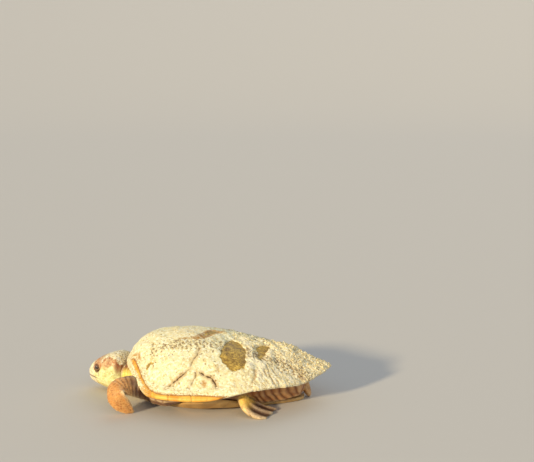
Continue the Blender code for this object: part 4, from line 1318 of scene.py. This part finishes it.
def shape_of_crust(found):
    """How high the sand stands on each point of the net, and the values its colours are mixed by."""
    base, from_edge, from_border = found[:, :3], found[:, 3], found[:, 4]
    (rough, specked), (worn, bare) = roughness_of_sand(base), bareness(base)
    hips = ease(base[:, 0], -0.04, 0.12)
    coarse, fine = clods(base, 0.024, 1), clods(base, 0.012, 3)
    height = sand_drift(base[:, 0], base[:, 1])
    height = height + 0.0034 * swell(base, 0.070, 1) + 0.0022 * swell(base, 0.028, 5)
    height += (0.0024 * coarse - 0.0011) * hips * rough
    height += (0.0016 * fine - 0.0009) * (0.35 + 0.65 * rough)
    comb = combed(base) * ease(base[:, 0], 0.02, 0.14) * ease(np.abs(base[:, 1]), 0.06, 0.14)
    height += COMB_HEIGHT * comb
    height += 0.0008 * swell(base, 0.0065, 9) * (0.35 + 0.65 * rough)
    pits = ease(swell(base, 0.0095, 21) + 0.52 * specked, 0.48, 0.66)
    height -= PIT_DEPTH * pits
    furrow = bell(distance_to_line(base, FURROW), 0.006)
    height -= FURROW_DEPTH * furrow
    ridge = np.max([bell(distance_to_line(base, line), 0.016) for line in RIDGES], axis=0)
    height += RIDGE_HEIGHT * ridge
    wander, wobble = 1 + 0.6 * swell(base, 0.009, 7), 0.0035 * swell(base, 0.013, 10)
    away = [np.abs(distance_to_line(base, line) + wobble) for line in CRACKS]
    cracks, valley, crack_slope_shade = (
        np.max([deep * bell(off, wide) for off, deep in zip(away, CRACK_DEPTHS)], axis=0)
        for wide in (0.0040 * wander, 0.0100, 0.0150)
    )
    height = np.maximum(height - 0.0022 * worn, WORN_FLOOR)
    height = np.maximum(height - 0.0024 * valley - 0.0024 * cracks, CRACK_FLOOR)
    height = height * (1 - bare) - BARE_DEPTH * bare
    room = 0.002 + 0.005 * ease(from_edge, 0, 0.25)
    lip = ease(from_border, 0, 0.0085)
    height = height * lip + (0.001 - room) * (1 - lip)
    height = np.maximum(height, 0.0004 - room)
    stain = np.max([ease(inside_outline(base, outline), -0.006, 0.006) for outline in STAINS], axis=0)
    values = {"rough": rough, "specked": specked, "pit": pits, "crack": cracks, "bare": bare, "stain": stain}
    # Painted shade: darker in the creases between clods, in the troughs of the streaks, in the furrow, on the
    # slopes beside the cracks, and a little where the sand is worn thin.
    hollow_shade = 0.7 * (1 - fine) ** 4 * rough + 0.30 * (1 - coarse) ** 4 * hips + 0.90 * crack_slope_shade
    values["hollow_shade"] = np.clip(hollow_shade + 0.75 * ease(-comb, 0.12, 0.45) + 0.15 * worn + 0.8 * furrow, 0, 1)
    # Painted highlights on the sand's ridges and on the crests of its streaks.
    sand_highlight = np.clip(ridge + 0.8 * ease(comb, 0.10, 0.45), 0, 1) * (1 - furrow)
    values["sand_highlight"] = sand_highlight * (1 - 0.5 * specked)
    values["peach"] = np.clip(ease(base[:, 0], -0.02, 0.25) * 0.55 + 0.7 * top_of_back(base), 0, 1)
    return height, values


def crust(sign):
    """One half of the crust: a fine sheet of sand above, and a plain one just inside the plates."""
    top, found = sheet_of_shell(sign, *CRUST_GRID)
    height, values = shape_of_crust(found)
    layers = {name: top.verts.layers.float.new(name) for name in values}
    for i, v in enumerate(top.verts):
        v.co += v.normal * float(height[i])
        for name, layer in layers.items():
            v[layer] = float(values[name][i])
    below, found = sheet_of_shell(sign, *LINING_GRID)
    depth = 0.0035 + 0.005 * ease(found[:, 3], 0, 0.25)
    for i, v in enumerate(below.verts):
        v.co -= v.normal * float(depth[i])
    bmesh.ops.reverse_faces(below, faces=below.faces[:])
    lining = bpy.data.meshes.new("lining")
    below.to_mesh(lining)
    below.free()
    top.from_mesh(lining)
    bpy.data.meshes.remove(lining)
    border = [e for e in top.edges if e.is_boundary]
    bmesh.ops.bridge_loops(top, edges=border)
    return top


def specks(tree, scale, level):
    """Irregular dark grains and pits, where fine noise rises above a level."""
    above = sums(tree, "SUBTRACT", cloud(tree, scale, 4, 0.7, 0.6), level)
    return ramp(tree, above, 0.0, 0.05)


def dried_sand():
    """Cream sand, lemon over the shoulders and peach over the hips, full of dark grains and pits, with
    painted shade in its hollows and cracks, partly in its pits, and painted highlights on its ridges.
    """
    made, tree, shader = new_material("dried_sand")
    rough, specked, hollow_shade = (own_value(tree, name) for name in ("rough", "specked", "hollow_shade"))
    body = mix(tree, own_value(tree, "peach"), pigment(239, 231, 184), pigment(255, 229, 172))
    paler = ramp(tree, own_value(tree, "peach"), 0, 0.8, 1.0, 0.25)
    drift = ramp(tree, cloud(tree, 26, 6, 0.65), 0.42, 0.66, 0.0, 0.42)
    body = mix(tree, times(tree, drift, paler), body, pigment(234, 208, 150))
    damp = ramp(tree, cloud(tree, 60, 5, 0.7), 0.50, 0.60, 0.0, 0.62)
    body = mix(tree, times(tree, damp, paler), body, pigment(204, 176, 112))
    body = mix(tree, ramp(tree, cloud(tree, 95, 4, 0.6), 0.50, 0.60, 0.0, 0.75), body, pigment(254, 252, 228))
    # Painted shade in the crust's hollows.
    body = mix(tree, ramp(tree, hollow_shade, 0.10, 0.95, 0.0, 0.70), body, pigment(180, 142, 94))
    # Painted highlights on the crust's ridges and streak crests.
    lit = ramp(tree, own_value(tree, "sand_highlight"), 0.15, 0.9, 0.0, 0.85)
    body = mix(tree, lit, body, pigment(255, 242, 206))
    marked = times(tree, own_value(tree, "stain"), ramp(tree, cloud(tree, 70, 5, 0.7), 0.34, 0.58, 0.35, 1.0))
    body = mix(tree, marked, body, pigment(184, 134, 68))
    # Pits darkened: partly dark grains, partly painted shade.
    pits = times(tree, own_value(tree, "pit"), ramp(tree, cloud(tree, 150, 3), 0.30, 0.60, 0.4, 1.0))
    body = mix(tree, times(tree, pits, 0.82), body, pigment(128, 92, 50))
    dark = specks(tree, 210, ramp(tree, specked, 0.0, 1, 0.64, 0.56))
    body = mix(tree, times(tree, dark, 0.60), body, pigment(112, 86, 58))
    # Dark in the cracks: painted shade.
    body = mix(tree, ramp(tree, own_value(tree, "crack"), 0.30, 0.85, 0.0, 0.92), body, pigment(78, 50, 22))
    body = mix(tree, ramp(tree, own_value(tree, "bare"), 0.5, 0.9), body, pigment(150, 118, 54))
    tree.links.new(body, shader.inputs["Base Color"])
    shader.inputs["Roughness"].default_value = 0.92
    shader.inputs["Specular IOR Level"].default_value = 0.25
    lumps = times(tree, cloud(tree, 110, 4, 0.6), ramp(tree, rough, 0, 1, 0.5, 0.8))
    grit = sums(tree, "ADD", cloud(tree, 380, 5, 0.75), lumps)
    relief(tree, shader, sums(tree, "SUBTRACT", grit, times(tree, pits, 0.4)), 0.0014)
    return made


DRIED_SAND = dried_sand()
sand_halves = []
for side, sign in (("left", -1), ("right", 1)):
    sand_halves.append(add_piece(f"sand_crust_{side}", crust(sign), DRIED_SAND, "sandy_scute"))


# --- Crumbs of sand -------------------------------------------------------------------------------
# Where the crust is clotted, loose crumbs lie on it, from the size of a lentil down to coarse
# grains. Each is a rough little ball pressed into the sand below.


def seats(seed, count, low, high):
    """Where each crumb lies, and its size: a point of the crust, more of them where it is rough, and
    the large ones only along the top."""
    chance, found = random.Random(seed), []
    fields = [half.data.attributes for half in sand_halves]
    while len(found) < count:
        side = len(found) % 2
        index = chance.randrange(CRUST_GRID[0] * CRUST_GRID[1])
        v = sand_halves[side].data.vertices[index]
        field = fields[side]
        rough, peach, bare = (field[name].data[index].value for name in ("rough", "peach", "bare"))
        flank = float(ease(abs(v.co.y), 0.07, 0.17))
        size = low + (high - low) * chance.random() ** 1.8 * (1 - 0.75 * flank)
        clotted = rough > chance.uniform(0.35, 1.1) and bare < 0.1
        if clotted and v.normal.z > 0.05 and v.co.x > -0.05 - 9 * (0.004 - size):
            found.append((v.co, size, peach))
    return found


def crumbs(seed, doublings, low, high):
    """Balls of sand scattered on the crust. One ball is doubled again and again, then all are set down."""
    bm = bmesh.new()
    layers = [bm.verts.layers.float.new(name) for name in ("rough", "hollow_shade", "peach")]
    bmesh.ops.create_icosphere(bm, subdivisions=1, radius=1)
    corners = len(bm.verts)
    for _ in range(doublings):
        bmesh.ops.duplicate(bm, geom=bm.verts[:] + bm.edges[:] + bm.faces[:])
    bm.verts.ensure_lookup_table()
    chance = random.Random(seed + 1)
    for i, (place, size, peach) in enumerate(seats(seed, 2**doublings, low, high)):
        turned = Matrix.Rotation(chance.uniform(0, 6.3), 3, Vector((chance.random(), 1, chance.random())))
        wide, tall = chance.uniform(0.55, 1), chance.uniform(0.4, 0.85)
        shape = turned @ Matrix.Diagonal((size * 1.1, size * wide, size * tall))
        shade = chance.uniform(0, 0.3)
        for v in bm.verts[i * corners : (i + 1) * corners]:
            v.co = place + shape @ (v.co + Vector([chance.uniform(-0.55, 0.55) for _ in range(3)]))
            for layer, value in zip(layers, (0.3, shade, peach)):
                v[layer] = value
    return bm


add_piece("sand_crumbs", crumbs(3, 10, 0.0016, 0.0062), DRIED_SAND, "sandy_scute")
add_piece("sand_grains", crumbs(5, 12, 0.0008, 0.0022), DRIED_SAND, "sandy_scute")


# --- The stage ----------------------------------------------------------------------------------
# A plain pale floor, flat where she stands and climbing gently far away, lit evenly by three far
# lamps. The camera stands off her left side, at the eye height of a visitor.


def floor_finish():
    made, _, shader = new_material("pale_floor")
    shader.inputs["Base Color"].default_value = pigment(204, 198, 188)
    shader.inputs["Roughness"].default_value = 0.85
    return made


FLAT, FLOOR_REACH, SWEEP_SLOPE, SWEEP_BEND = 14.0, 60.0, 0.115, 6.0
bm = bmesh.new()
outwards = np.r_[0, np.linspace(FLAT, FLOOR_REACH, 40)]
beyond = outwards[1:] - FLAT
climb = SWEEP_SLOPE * np.r_[0, beyond - SWEEP_BEND * (1 - np.exp(-beyond / SWEEP_BEND))]
profile = [bm.verts.new((out, 0, up)) for out, up in zip(outwards, climb)]
rays = [bm.edges.new(pair) for pair in zip(profile, profile[1:])]
upright = {"cent": (0, 0, 0), "axis": (0, 0, 1), "angle": 2 * math.pi}
bmesh.ops.spin(bm, geom=profile + rays, steps=96, use_merge=True, **upright)
bmesh.ops.remove_doubles(bm, verts=bm.verts[:], dist=1e-4)
bmesh.ops.recalc_face_normals(bm, faces=bm.faces[:])
if sum(f.normal.z for f in bm.faces) < 0:
    bmesh.ops.reverse_faces(bm, faces=bm.faces[:])
mesh = bpy.data.meshes.new("floor")
bm.to_mesh(mesh)
bm.free()
mesh.shade_smooth()
mesh.materials.append(floor_finish())
floor = bpy.data.objects.new("floor", mesh)
bpy.context.scene.collection.objects.link(floor)


def far_lamp(name, place, spread, strength, colour):
    """A lamp so far away that it lights the whole floor evenly. Its spread in degrees makes it soft."""
    light = bpy.data.lights.new(name, "SUN")
    light.angle, light.energy, light.color = math.radians(spread), strength, colour
    made = bpy.data.objects.new(name, light)
    made.rotation_euler = (-Vector(place)).to_track_quat("-Z", "Y").to_euler()
    bpy.context.scene.collection.objects.link(made)


far_lamp("key", (-3.1, -3.8, 1.5), 5, 3.75, (1.0, 0.84, 0.56))
far_lamp("fill", (3.2, -3.0, 2.5), 60, 0.42, (0.85, 0.92, 1.0))
far_lamp("back", (0.8, 3.6, 2.5), 50, 0.72, (0.9, 0.95, 1.0))
world = bpy.data.worlds.new("room")
world.use_nodes = True
world.node_tree.nodes["Background"].inputs["Color"].default_value = (0.80, 0.88, 1.0, 1)
world.node_tree.nodes["Background"].inputs["Strength"].default_value = 0.42
bpy.context.scene.world = world
bpy.context.scene.view_settings.view_transform = "Standard"

lens = bpy.data.cameras.new("camera")
lens.sensor_width, lens.lens, lens.clip_end = 36, 72.81, 200
camera = bpy.data.objects.new("camera", lens)
camera.location = (0.4084, -4.6026, 1.5297)
camera.rotation_euler = (math.radians(90 - 9.69), 0, math.radians(3.09))
bpy.context.scene.collection.objects.link(camera)
bpy.context.scene.camera = camera
